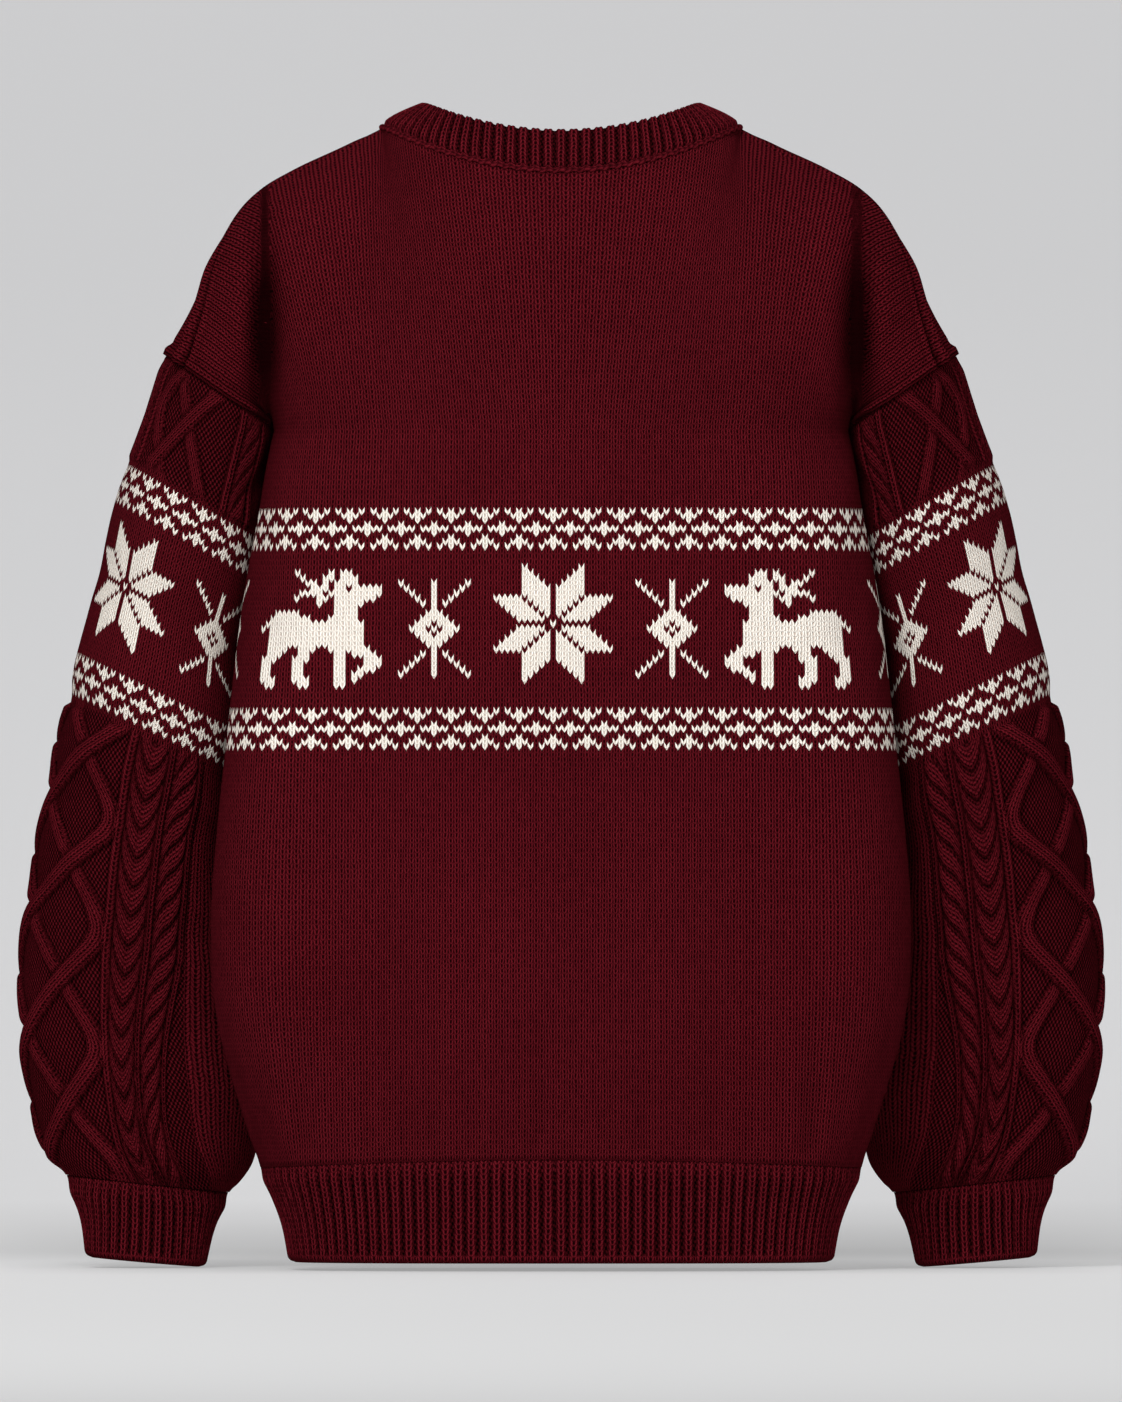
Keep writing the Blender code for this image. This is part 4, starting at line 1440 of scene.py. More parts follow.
@dataclass(frozen=True)
class Sleeve:
    """A balloon sleeve: lattice and cords above and below a band of colour work."""

    name: str
    side: int
    creases: tuple[Crease, ...]
    band: Band = Band(stars=(-42, 0), flakes=(-21, 21), deer=False)
    band_down: float = 141.0
    rows_above: int = 56
    rows_below: int = 225
    wall: float = 2.6
    step_in: float = 1.2
    tuck: tuple[tuple[float, float], ...] = ((3.0, 3.4), (1.2, 3.0), (0.0, 1.8))
    lattices: tuple[Trellis, ...] = (
        Trellis(15.0, 30.0, 13.5, 28.0, half=27.0, strand=4.5, top=1.0, bottom=70.0, height=3.4, left_out=0),
        Trellis(-38.0, 278.0, 30.5, 34.3, half=61.0, strand=5.5, top=219.0, bottom=492.0),
    )
    cords: tuple[Cord, ...] = (
        Cord(67.0, 3.0, 2.6, Twist.PLAIN),
        Cord(80.5, 10.4, 5.0, Twist.HORSESHOE),
        Cord(93.0, 2.2, 2.6, Twist.PLAIN),
        Cord(104.0, 8.0, 5.0, Twist.ROPE),
        Cord(114.5, 2.2, 2.4, Twist.PLAIN),
    )
    upper_cords: tuple[Cord, ...] = (
        Cord(36.0, 2.6, 2.0, Twist.PLAIN),
        Cord(47.0, 7.0, 3.0, Twist.ROPE),
        Cord(58.0, 2.4, 2.0, Twist.PLAIN),
    )
    fine: tuple[float, float] = (69.0, 113.0)  # the cables' columns are half as wide
    taper: float = 0.45
    taper_from: float = 64.0  # from the cable panel's middle
    taper_rows: tuple[float, float] = (330.0, 470.0)
    purl_half: tuple[float, float] = (61.0, 117.0)  # half the purl ground's width, above and below the band
    # painted shade on the sides that lie next to the body
    shaded: Table = ((80.0, 102.0), (157.0, 179.0))  # across, next to the body, to the back and the front
    shaded_rows: tuple[float, float] = (330.0, 450.0)  # the shade ends over these
    gathers: float = 1.6
    # painted shade in the gaps between wales
    gaps: float = 0.2  # how dark the gaps between wales are
    swell: Table = (  # distance down, how far the sleeve swells there
        (40.0, 0.0), (60.0, 1.0), (85.0, 2.6), (105.0, 1.6), (120.0, 0.0), (140.0, -1.8), (160.0, 0.0),
        (190.0, 2.6), (206.0, 2.2), (222.0, -1.2), (235.0, 0.0), (246.0, 0.6), (266.0, -2.0), (288.0, -1.8),
        (309.0, -1.2), (331.0, -2.4), (349.0, -0.2), (370.0, -0.6), (400.0, -1.0), (425.0, 0.0),
        (442.0, -1.5), (460.0, -1.6), (474.0, 1.0), (484.0, 1.6), (489.0, 0.4), (500.0, -0.6),
    )

    def make(self, finish: bpy.types.Material) -> bpy.types.Object:
        """Knit the sleeve.

        Args:
            finish: the knit's material.

        Returns:
            The new object.
        """
        run = Arm.run(Arm.rings)
        length = run[-1, 0]
        wale = self.columns()
        grid, out, courses, sunk = self.rows(wale, run)
        wales = np.broadcast_to(wale, courses.shape)
        over, down = wales * WALE, self.band_down - self.band.height(courses)
        relief, purl = self.pattern(over, down, length)
        folds = self.folds(over, down, length)
        outside = grid + out * (relief.height + folds - sunk)[..., None]
        lining = grid - out * (sunk + self.wall - np.minimum(folds, 0.0))[..., None]
        outside, lining = (closed(cloth, self.side) for cloth in (outside, lining))
        plain = corners(np.stack([wales, courses], axis=-1))
        on_cord = corners(np.stack([relief.wale, relief.course], axis=-1))
        good = ~np.isnan(on_cord).any(axis=(2, 3)) & (np.ptp(on_cord, axis=2).max(axis=-1) < 2.5)
        stitches = np.where(good[..., None, None], on_cord, plain)
        shade = corners(self.shade(relief, purl, over, down, length))
        yarn = np.stack(
            [self.band.marks(plain), corners(purl), shade, np.full_like(shade, self.gaps)], axis=-1
        )
        return Knitting(self.name, "wool", outside, lining, stitches, yarn, True).make(finish)

    def columns(self) -> Array:
        """Wales of the grid's columns, each half stitch, and each quarter on the cables.

        Returns:
            The wales.
        """
        right, left = Arm.flat_edges[-1] / WALE, Arm.flat_edges[1] / WALE
        wale = np.arange(math.ceil(2 * right + 0.3), math.floor(2 * left - 0.3) + 1) / 2
        low, high = self.fine
        finer = wale + 0.25
        beside = np.abs(finer * WALE - self.lattices[1].middle)
        finer = finer[(beside > low) & (beside < high)]
        return np.concatenate([[right], np.sort(np.concatenate([wale, finer])), [left]])

    def rows(self, wale: Array, run: Array) -> tuple[Array, Array, Array, Array]:
        """Points of the sleeve's plain form, from the armhole down.

        Args:
            wale: wales of the columns.
            run: the arm's rings, with their distances down.

        Returns:
            Points, ways out, courses, and how far each row is set in from the form.
        """
        across = wale * WALE
        grid, out, courses, sunk = [], [], [], []
        first, first_out = Arm.line(on_curve(run, 0.0), across)
        for lift, depth in self.tuck:
            grid.append(first + Arm.axis(np.asarray(Arm.rings[0])) * lift)
            out.append(first_out)
            courses.append(np.full_like(wale, self.band.course(self.band_down + lift)))
            sunk.append(depth)
        for course in self.courses(run[-1, 0]):
            places = course + self.band.zigzag(wale, np.full_like(wale, course))
            down = self.band_down - self.band.height(places)
            grid.append(between(lambda place: Arm.line(on_curve(run, place), across)[0], down))
            out.append(Arm.line(on_curve(run, float(down.min())), across)[1])
            courses.append(places)
            sunk.append(self.step_in + 0.4 * float(1 - eased(down.min(), 0.0, 3.0)))
        return np.stack(grid), np.stack(out), np.stack(courses), np.asarray(sunk)[:, None]

    def shade(self, relief: Relief, purl: Array, over: Array, down: Array, length: float) -> Array:
        """Painted shade, from 0 to 1: under the armhole's edge, at the cuff, in grooves, beside the body and
        on the purl ground.

        Args:
            relief: the raised knitting.
            purl: how much of the ground is purl.
            over: places across the plan.
            down: places down the plan.
            length: the sleeve's length.

        Returns:
            The darkness at the grid's points.
        """
        # painted shade under the armhole's edge and at the cuff
        ends = 0.6 * near(down, 0.5, 1.6) + 0.15 * near(down, length, 1.5)
        # painted shade in the relief's hollows and grooves
        hollow = np.clip(cavity(relief.height, 2) * 0.12, 0, 0.4) + relief.dark
        # painted shade on the sides next to the body, fading down the sleeve
        behind, before = self.shaded
        inner = eased(over, *behind) + eased(-over, *before)
        inner = 0.85 * inner * (1 - eased(down, *self.shaded_rows))
        # the purl ground takes a little painted shade as well
        light = (1 - np.clip(ends, 0, 1)) * (1 - np.clip(hollow, 0, 1)) * (1 - inner) * (1 - 0.25 * purl)
        return 1 - light

    def courses(self, length: float) -> Array:
        """Courses of the grid's rows, each single one in the band.

        Args:
            length: the sleeve's length.

        Returns:
            The courses.
        """
        start, end = (float(self.band.course(self.band_down - down)) for down in (0.5, length))
        above = np.linspace(start, self.band.top + 1, self.rows_above)
        band = np.arange(self.band.top, self.band.bottom - 0.5, -1.0)
        below = np.linspace(self.band.bottom - 1, end, self.rows_below)
        return np.concatenate([above, band, below])

    def pattern(self, across: Array, down: Array, length: float) -> tuple[Relief, Array]:
        """Lattices and cords at places on the plan, and how much of the ground is purl.

        Args:
            across: places across the plan.
            down: places down it.
            length: the sleeve's length.

        Returns:
            The raised knitting, and 1 where the ground is purl.
        """
        upper, lower = self.lattices
        found = Relief.flat(across)
        for lattice, cords in ((upper, self.upper_cords), (lower, self.cords)):
            rows = (down >= lattice.top) & (down <= lattice.bottom)
            beside = np.abs(across - lattice.middle)
            wider = 1 + self.taper * eased(down, *self.taper_rows)
            beside = beside + np.maximum(beside - self.taper_from, 0.0) * (wider - 1)
            found.lay(lattice.read(across, down), rows & (beside < lattice.half + lattice.strand))
            for cord in cords:
                found.lay(cord.read(beside, down), rows)
        upper_half, lower_half = self.purl_half
        panel = (np.abs(across - lower.middle) < lower_half) & (down > lower.top)
        panel |= (np.abs(across - upper.middle) < upper_half) & (down < upper.bottom)
        fade = eased(down, 0.0, 14.0) * eased(length - down, 0.0, 9.0)
        fade = fade * (1 - near(down, lower.top, 2.0)) * (1 - near(down, upper.bottom, 2.0))
        purl = (np.isnan(found.wale) & panel).astype(float)
        found.height, found.dark = found.height * fade, found.dark * eased(down, 2.0, 7.0)
        return found, purl

    def folds(self, across: Array, down: Array, length: float) -> Array:
        """How far the plain cloth stands out of its form, in millimetres.

        Args:
            across: places across the plan.
            down: places down it.
            length: the sleeve's length.

        Returns:
            The heights.
        """
        height = -sum(crease.at(across, down) for crease in self.creases)
        waves = np.sin(across / 7.3 + 0.8) + 0.8 * np.sin(across / 4.6 + 2.0)
        height = height + self.gathers * 0.5 * waves * np.exp(-(length - down) / 18.0)
        height = height * eased(down, 0.0, 12.0) * eased(length - down, 0.0, 6.0)
        return height + on_curve(self.swell, np.clip(down, 40.0, 500.0))[..., 0]


@dataclass(frozen=True)
class Rib:
    """Profile of a rib.

    half: place from its middle, height from 0 to 1, and wale, over half a repeat.
    """

    half: Table = (
        (0.0, 0.74, 0.0),
        (0.08, 0.9, 0.12),
        (0.16, 1.0, 0.25),
        (0.23, 0.97, 0.36),
        (0.30, 0.75, 0.46),
        (0.36, 0.3, 0.6),
        (0.42, 0.03, 0.8),
        (0.5, 0.0, 1.0),
    )
    height: float = 2.0
    wall: float = 2.4

    def round(self, ribs: int) -> tuple[Array, Array, Array]:
        """Places round a ring of ribs, with their heights and wales, ending where they start.

        Args:
            ribs: how many ribs there are.

        Returns:
            Places from 0 to 1, heights and wales.
        """
        half = np.asarray(self.half)
        one = np.concatenate([half[:0:-1] * [-1.0, 1.0, -1.0], half[:-1]])
        places = (np.arange(ribs)[:, None] + one[:, 0]).ravel()
        wales = (2 * np.arange(ribs)[:, None] + one[:, 2]).ravel()
        heights = np.tile(one[:, 1], ribs)
        return (
            np.append(places, places[0] + ribs) / ribs,
            np.append(heights, heights[0]),
            np.append(wales, wales[0] + 2 * ribs),
        )


@dataclass(frozen=True)
class Ring:
    """A line of points round a rib piece, at shares of its length, and the ways out."""

    point_at: Callable[[Array], Array]
    out_at: Callable[[Array], Array]

    def quarters(self) -> Array:
        """Running length at the back's middle, a side, the front's middle, the other side and the back."""
        return lengths(self.point_at(np.linspace(90.0, 450.0, FINE)))[:: FINE // 4]

    def at(self, shares: Array, seam: "Ring") -> tuple[Array, Array]:
        """Points where ribs cross this ring, and the ways out.

        The ribs run straight over both faces, and those at the sides take up the change in girth.

        Args:
            shares: the ribs' places at the seam, from the back's middle, as shares of its length.
            seam: the ring at the seam.

        Returns:
            Points and unit directions.
        """
        here, there = self.quarters(), seam.quarters()
        place = (shares % 1.0) * there[-1]
        quarter = np.clip(np.searchsorted(there, place, side="right") - 1, 0, 3)
        middle, side = quarter + quarter % 2, quarter + 1 - quarter % 2
        reach = there[side] - there[middle]
        share = (place - there[middle]) / reach
        change = here[side] - here[middle] - reach
        place = here[middle] + share * reach + change * share**3
        angles = angle_at(self.point_at, 90.0, 450.0, place / here[-1])
        return self.point_at(angles), self.out_at(angles)


@dataclass(frozen=True)
class RibPiece:
    """A ribbed tube: the hem, the collar or a cuff.

    ring: gives the ring at a distance from the seam, as a share of the piece's height from 0 to 1.
    tuck: how far the ribs start in behind the plain knit, and emerge: the height they come out over.
    roll: radius of the rolled end.
    edge: height of the plain edge that the ribs run into, and scallop: how far they stand over it.
    """

    name: str
    ribs: int
    height: float
    ring: Callable[[float], Ring]
    side: int = 1
    tuck: float = 1.2
    emerge: float = 8.0
    roll: float = 4.0
    edge: float = 4.5
    scallop: float = 0.0
    rib: Rib = Rib()
    step: float = 2.0
    fine_end: float = 8.0  # the last rows are 1 mm apart
    course: float = 3.3

    def make(self, finish: bpy.types.Material) -> bpy.types.Object:
        """Knit the rib.

        Args:
            finish: the knit's material.

        Returns:
            The new object.
        """
        shares, heights, wales = self.rib.round(self.ribs)
        fine = self.height - self.fine_end
        rows = np.linspace(0.0, fine, round(fine / self.step) + 1)
        rows = np.concatenate([rows, fine + np.arange(1.0, self.fine_end + 0.5)])
        seam = self.ring(0.0)
        ahead = unit(self.ring(1.0).at(shares, seam)[0] - self.ring(0.93).at(shares, seam)[0])
        outside, lining = [], []
        for start in rows:
            points, out = self.ring(start / self.height).at(shares, seam)
            raised = heights + (1.0 - heights) * self.bound(start)
            raised = self.rib.height * raised * (0.1 + 0.9 * eased(start, -1.0, self.emerge))
            raised = raised - self.tuck * (1 - eased(start, 0.0, self.emerge))
            rolled = np.clip((start - self.height) / self.roll + 1, 0, 1)
            sink = (self.rib.wall + raised - 0.4) * (1 - np.sqrt(1 - rolled**2))
            longer = self.scallop * (heights - 0.5) * eased(start, self.height - 4.0, self.height)
            outside.append(points + out * (raised - sink)[:, None] + ahead * longer[:, None])
            lining.append(points - out * self.rib.wall)
        outside, lining = (closed(np.stack(cloth), self.side) for cloth in (outside, lining))
        down = np.broadcast_to(rows[:, None], outside.shape[:2])
        stitches = corners(np.stack([np.broadcast_to(wales, down.shape), -down / self.course], axis=-1))
        # painted shade in the ribs' valleys and under the rolled end
        valley = np.clip(1.1 - 1.35 * heights, 0, 1) * (1 - self.bound(down))
        under = 0.5 * eased(down, self.height - 0.8 * self.roll, self.height)
        shade = np.clip(valley * 0.82 * eased(down, -1.0, self.emerge) + under, 0, 1)
        purl = eased(valley, 0.5, 0.9)
        yarn = corners(np.stack([np.zeros_like(shade), purl, shade, np.zeros_like(shade)], axis=-1))
        return Knitting(self.name, "rib", outside, lining, stitches, yarn, True, 5, 7).make(finish)

    def bound(self, down: Array) -> Array:
        """How far the ribs have run into the plain edge, from 0 to 1, by the distance from the seam.

        Args:
            down: distances from the seam.

        Returns:
            The shares.
        """
        if not self.edge:
            return np.zeros_like(down)
        return eased(down, self.height - self.edge - 1.0, self.height - self.edge + 0.5)


def hem_ring(body: Body) -> Callable[[float], Ring]:
    """Rings of the hem, from its seam down.

    Args:
        body: the body that it ends.

    Returns:
        Gives the ring at a share of the height.
    """
    top, bottom = body.rib_top_z - 0.15, body.sections[-1][0]

    def ring(down: float) -> Ring:
        """The ring at a share of the way down.

        Args:
            down: 0 at the seam and 1 at the end.

        Returns:
            The ring.
        """
        z = top + (bottom - top) * down
        drop = body.rib_top_drop * (1 - down) ** 2

        def point_at(angle: Array) -> Array:
            """Points at angles, lower at the sides next to the seam.

            Args:
                angle: 0 is the left side and 90 the back.

            Returns:
                The points.
            """
            points = body.section(z, angle)
            points[..., 2] -= drop * (points[..., 0] / body.rib_top_half_width) ** 2
            return points

        def out_at(angle: Array) -> Array:
            """Level directions out of the hem at angles."""
            step = body.section(z, angle + 1) - body.section(z, angle - 1)
            return unit(np.cross(step, np.array([0.0, 0.0, 1.0])))

        return Ring(point_at, out_at)

    return ring


def collar_ring(neck: Neck, lift: float = 0.03) -> Callable[[float], Ring]:
    """Rings of the collar, from its seam up.

    Args:
        neck: the neck that it stands on.
        lift: how far up the neck it starts.

    Returns:
        Gives the ring at a share of the height.
    """

    def ring(up: float) -> Ring:
        """The ring at a share of the way up."""
        rise = lift + (1 - lift) * up
        return Ring(lambda angle: neck.point(angle, rise), lambda angle: neck.out(angle, rise))

    return ring


def cuff_ring() -> Callable[[float], Ring]:
    """Rings of a cuff, from its seam down.

    Returns:
        Gives the ring at a share of the height.
    """
    table = Arm.run(Arm.cuff)
    table[:, 0] /= float(table[-1, 0])
    axis = Arm.axis(table[0, 1:]) * 0.3

    def ring(down: float) -> Ring:
        """The ring at a share of the way down.

        Args:
            down: 0 at the seam and 1 at the end.

        Returns:
            The ring.
        """
        row = on_curve(table, down)
        shift = (1 - down) * axis
        row = row - np.array([shift[0], shift[2], shift[0], shift[2], 0.0, 0.0])
        return Ring(lambda angle: Arm.ring(row, angle), lambda angle: Arm.out(row, angle))

    return ring


@dataclass(frozen=True)
class SeamCord:
    """The linked seam that runs round the neck below the collar."""

    name: str = "neck_seam"
    radius: float = 1.6
    stand_out: float = 1.2
    sink: float = 0.5
    waves: int = 88
    wave_height: float = 0.45
    segments: int = 720
    sides: int = 8
    neck: Neck = Neck()

    def make(self, finish: bpy.types.Material) -> bpy.types.Object:
        """Sweep the seam round the neck.

        Args:
            finish: the knit's material.

        Returns:
            The new object.
        """
        shares = np.linspace(0.0, 1.0, self.segments + 1)
        angles = angle_at(lambda angle: self.neck.point(angle, 0.0), 90.0, 450.0, shares)
        points, out = self.neck.point(angles, 0.0), self.neck.out(angles, 0.0)
        up = unit(self.neck.point(angles, 0.2) - points)
        flat = 1 - 0.8 * near(np.abs(degrees(angles)[0]), 1.0, 0.02)[:, None]
        middle = points + out * self.stand_out * flat - up * self.sink
        stitch = shares * self.waves * 2
        middle = middle + up * (self.wave_height * np.cos(stitch * math.pi))[:, None]
        swell = self.radius * (0.84 + 0.16 * np.abs(np.sin(stitch * math.pi / 2)))
        cos, sin = degrees(np.linspace(0.0, 360.0, self.sides + 1)[:, None, None])
        grid = np.swapaxes(middle + swell[:, None] * (cos * out + sin * up), 0, 1)[:, ::-1]
        numbers = np.arange(self.segments * self.sides).reshape(self.segments, self.sides)
        numbers = np.pad(numbers, ((0, 1), (0, 1)), mode="wrap")
        around, along = np.meshgrid(np.linspace(-0.5, 0.5, self.sides + 1), stitch)
        places = np.stack([0.004 + 0.992 * along / stitch[-1], 0.4 + 0.2 * around], axis=-1)
        loops = Loops()
        loops.add_quads(
            corners(numbers),
            corners(np.stack([around, along], axis=-1)),
            np.zeros((self.segments, self.sides, 4, 4)),
            corners(places),
        )
        return loops.make(self.name, grid[:-1, :-1].reshape(-1, 3), finish, "rib")


# ---- Finishes ----


class Graph:
    """Nodes of one material."""

    def __init__(self, name: str) -> None:
        """Start a material with its shader.

        Args:
            name: the material's name.
        """
        self.material = bpy.data.materials.new(name)
        self.material.use_nodes = True
        self.nodes = self.material.node_tree.nodes
        self.links = self.material.node_tree.links
        self.shader = self.nodes["Principled BSDF"]

    def node(self, kind: str, settings: dict | None = None, inputs: dict | None = None) -> bpy.types.Node:
        """Add a node.

        Args:
            kind: the node's type.
            settings: its own settings, which are set first.
            inputs: values or links of its sockets, by name or number.

        Returns:
            The node.
        """
        made = self.nodes.new(kind)
        for setting, value in (settings or {}).items():
            setattr(made, setting, value)
        for socket, value in (inputs or {}).items():
            self.feed(made.inputs[socket], value)
        return made

    def feed(self, socket: bpy.types.NodeSocket, value: object) -> None:
        """Link or set a socket.

        Args:
            socket: the socket.
            value: a Value or a socket to link, or a constant to set.
        """
        if isinstance(value, Value):
            self.links.new(value.socket, socket)
        elif isinstance(value, bpy.types.NodeSocket):
            self.links.new(value, socket)
        else:
            socket.default_value = value

    def mix(self, share: object, first: object, second: object, way: str = "MIX") -> bpy.types.NodeSocket:
        """Mix two colours."""
        settings = {"data_type": "RGBA", "blend_type": way}
        return self.node("ShaderNodeMix", settings, {0: share, 6: first, 7: second}).outputs[2]

    def noise(self, where: bpy.types.NodeSocket, scale: float, detail: float = 2.0) -> Sequence:
        """The outputs of a noise: its value and its colour."""
        inputs = {"Vector": where, "Scale": scale, "Detail": detail}
        return self.node("ShaderNodeTexNoise", None, inputs).outputs

    def dress(self, inputs: dict[str, object]) -> bpy.types.Material:
        """Give the shader its inputs.

        Args:
            inputs: Values or sockets to link, and constants to set, by the inputs' names.

        Returns:
            The material.
        """
        for name, value in inputs.items():
            self.feed(self.shader.inputs[name], value)
        return self.material


class Value:
    """A number that varies over the surface."""

    def __init__(self, graph: Graph, socket: bpy.types.NodeSocket) -> None:
        """Wrap a socket."""
        self.graph, self.socket = graph, socket

    def math(self, operation: str, *others: object) -> "Value":
        """A Math node on this value.

        Args:
            operation: the node's operation.
            others: its other inputs.

        Returns:
            The result.
        """
        inputs = {0: self, **{k + 1: other for k, other in enumerate(others)}}
        made = self.graph.node("ShaderNodeMath", {"operation": operation}, inputs)
        return Value(self.graph, made.outputs[0])

    def __add__(self, other: object) -> "Value":
        """The sum."""
        return self.math("ADD", other)

    __radd__ = __add__

    def __mul__(self, other: object) -> "Value":
        """The product."""
        return self.math("MULTIPLY", other)

    __rmul__ = __mul__

    def __sub__(self, other: object) -> "Value":
        """The difference."""
        return self.math("SUBTRACT", other)

    def __rsub__(self, other: float) -> "Value":
        """A number less this value."""
        return self * -1.0 + other

    def __pow__(self, exponent: float) -> "Value":
        """The power."""
        return self.math("POWER", exponent)

    def __abs__(self) -> "Value":
        """The size."""
        return self.math("ABSOLUTE")

    def fraction(self) -> "Value":
        """The part after the point."""
        return self.math("FRACT")

    def floor(self) -> "Value":
        """The whole part."""
        return self.math("FLOOR")

    def sine(self) -> "Value":
        """The sine."""
        return self.math("SINE")

    def least(self, other: object) -> "Value":
        """The lesser of two values."""
        return self.math("MINIMUM", other)

    def most(self, other: object) -> "Value":
        """The greater of two values."""
        return self.math("MAXIMUM", other)

    def clipped(self) -> "Value":
        """The value, brought between 0 and 1."""
        return self.most(0.0).least(1.0)


@dataclass(frozen=True)
class Wool:
    """Knitted wool in two colours, with stitches from the mesh's wales and courses, and painted shade in
    hollows.
    """

    name: str = "maroon_wool_knit"
    ground: Colour = (0.112, 0.0068, 0.0118)
    # painted shade: the ground's colour in the stitches' hollows
    ground_in_shade: Colour = (0.007, 0.0006, 0.0011)
    cream: Colour = (1.0, 0.94, 0.85)
    # painted shade: the cream's colour in the stitches' hollows
    cream_in_shade: Colour = (0.66, 0.53, 0.44)
    fluff: Colour = (0.42, 0.05, 0.08)
    roughness: float = 0.9
    sheen: float = 0.015
    relief: float = 0.0012
    uneven: float = 0.3  # how far stitches stray, in wales
    # strengths of the painted shade, and of the painted shade in the gaps between wales
    shade_depth: float = 0.82
    gap_shade_depth: float = 0.95
    wobble_scale: float = 170.0
    broad_scale: float = 14.0
    fibre_scale: float = 1500.0

    def make(self) -> bpy.types.Material:
        """Build the material.

        Returns:
            The material.
        """
        graph = Graph(self.name)
        where = graph.node("ShaderNodeTexCoord").outputs["Object"]
        wale, course = self.stitches(graph, where)
        # the yarn attribute: cream, purl, painted shade and painted shade between wales
        attribute = graph.node("ShaderNodeAttribute", {"attribute_name": "yarn"}).outputs
        marks = graph.node("ShaderNodeSeparateColor", None, {0: attribute["Color"]}).outputs
        cream, purl, shade, gaps = (Value(graph, mark) for mark in (*marks, attribute["Alpha"]))
        beside = abs((wale + 0.5).fraction() - 0.5) * 2.0
        lifted = course + 0.5 - (beside - 0.5) * ZIGZAG
        knit = self.knit(beside, lifted, course)
        height = knit + (self.seeds(wale, course) - knit) * purl
        stitch = {0: (wale + 0.5).floor(), 1: lifted.floor(), 2: cream}
        stitch = graph.node("ShaderNodeCombineXYZ", None, stitch).outputs[0]
        chance = graph.node("ShaderNodeTexWhiteNoise", {"noise_dimensions": "3D"}, {0: stitch}).outputs[0]
        broad, fibre = graph.noise(where, self.broad_scale, 3.0)[0], graph.noise(where, self.fibre_scale)[0]
        chance, broad, fibre = (Value(graph, made) for made in (chance, broad, fibre))
        uneven = chance * 0.20 + (broad - 0.5) * 0.3 + (fibre - 0.5) * 0.35
        # painted shade: the yarn's shade channel darkens it, and the next line darkens the gaps between wales
        light = (0.86 + uneven * (1.0 - cream * 0.6) + cream * 0.1) * (1.0 - shade * self.shade_depth)
        light = light * (1.0 - beside**3 * gaps * self.gap_shade_depth)
        bump = graph.node("ShaderNodeBump", None, {"Strength": 0.9, "Distance": self.relief})
        graph.feed(bump.inputs["Height"], height + fibre * 0.25)
        return graph.dress(
            {
                "Base Color": self.colour(graph, cream, height, light),
                "Roughness": self.roughness + (fibre - 0.5) * 0.12 - height * 0.06,
                "Normal": bump.outputs[0],
                "Sheen Weight": self.sheen,
                "Sheen Tint": (*self.fluff, 1),
                "Sheen Roughness": 0.5,
                "Specular IOR Level": 0.0,
            }
        )

    def stitches(self, graph: Graph, where: bpy.types.NodeSocket) -> tuple[Value, ...]:
        """Wales and courses, a little uneven.

        Args:
            graph: the material's graph.
            where: places on the object.

        Returns:
            The wale and the course.
        """
        place = graph.node("ShaderNodeUVMap", {"uv_map": "stitch"}).outputs[0]
        split = graph.node("ShaderNodeSeparateXYZ", None, {0: place}).outputs
        wobble = graph.noise(where, self.wobble_scale, 1.0)[1]
        sway = graph.node("ShaderNodeSeparateColor", None, {0: wobble}).outputs
        return tuple(
            Value(graph, split[k]) + (Value(graph, sway[k]) - 0.5) * self.uneven * (k + 1.0) for k in (0, 1)
        )

    def colour(self, graph: Graph, cream: Value, height: Value, light: Value) -> bpy.types.NodeSocket:
        """The yarn's colour, darker in the stitches' hollows as painted shade.

        Args:
            graph: the material's graph.
            cream: 1 on cream stitches and 0 on the ground.
            height: height of the knitting, from 0 to 1.
            light: how light the yarn lies, with the painted shade already in it.

        Returns:
            The colour.
        """
        # painted shade: low places of the knitting take the colours in shade
        dark = graph.mix(height, (*self.ground_in_shade, 1), (*self.ground, 1))
        pale = graph.mix(height**0.5, (*self.cream_in_shade, 1), (*self.cream, 1))
        grey = graph.node("ShaderNodeCombineColor", None, {0: light, 1: light, 2: light}).outputs[0]
        return graph.mix(1.0, graph.mix(cream, dark, pale), grey, "MULTIPLY")

    @staticmethod
    def knit(beside: Value, lifted: Value, course: Value) -> Value:
        """Height of plain knitting, from 0 to 1.

        Args:
            beside: 0 in the middle of a wale and 1 at its edges.
            lifted: courses, on lines that run along the stitches' legs.
            course: courses.

        Returns:
            The height.
        """
        leg = lifted.fraction() * 2.0 - 1.0
        legs = (1.0 - leg * leg).most(0.0001) ** 0.3
        sides = 1.0 - (beside * 2.0 - 1.0).most(0.0) ** 2.5 * 0.62
        up = ((course + 0.45).fraction() - 0.5) * 1.9
        hole = (1.15 - beside * beside * 8.0 - up * up).clipped()
        up, aside = ((course + 0.55).fraction() - 0.5) * 2.0, 1.0 - beside
        notch = (1.0 - aside * aside * 13.0 - up * up).most(0.0) * 0.6
        return (legs * sides * (1.0 - hole) * (1.0 - notch) * 1.1).least(1.0)

    @staticmethod
    def seeds(wale: Value, course: Value) -> Value:
        """Height of purl knitting: short slanting seeds in turned rows.

        Args:
            wale: wales.
            course: courses.

        Returns:
            The height, from 0 to 1.
        """
        slant = (wale * 7.0 + course * 1.2).sine()
        rows = (course * 4.9 - wale * 1.1).sine()
        return (slant * rows * 1.1 + 0.42).clipped()


# ---- Studio ----


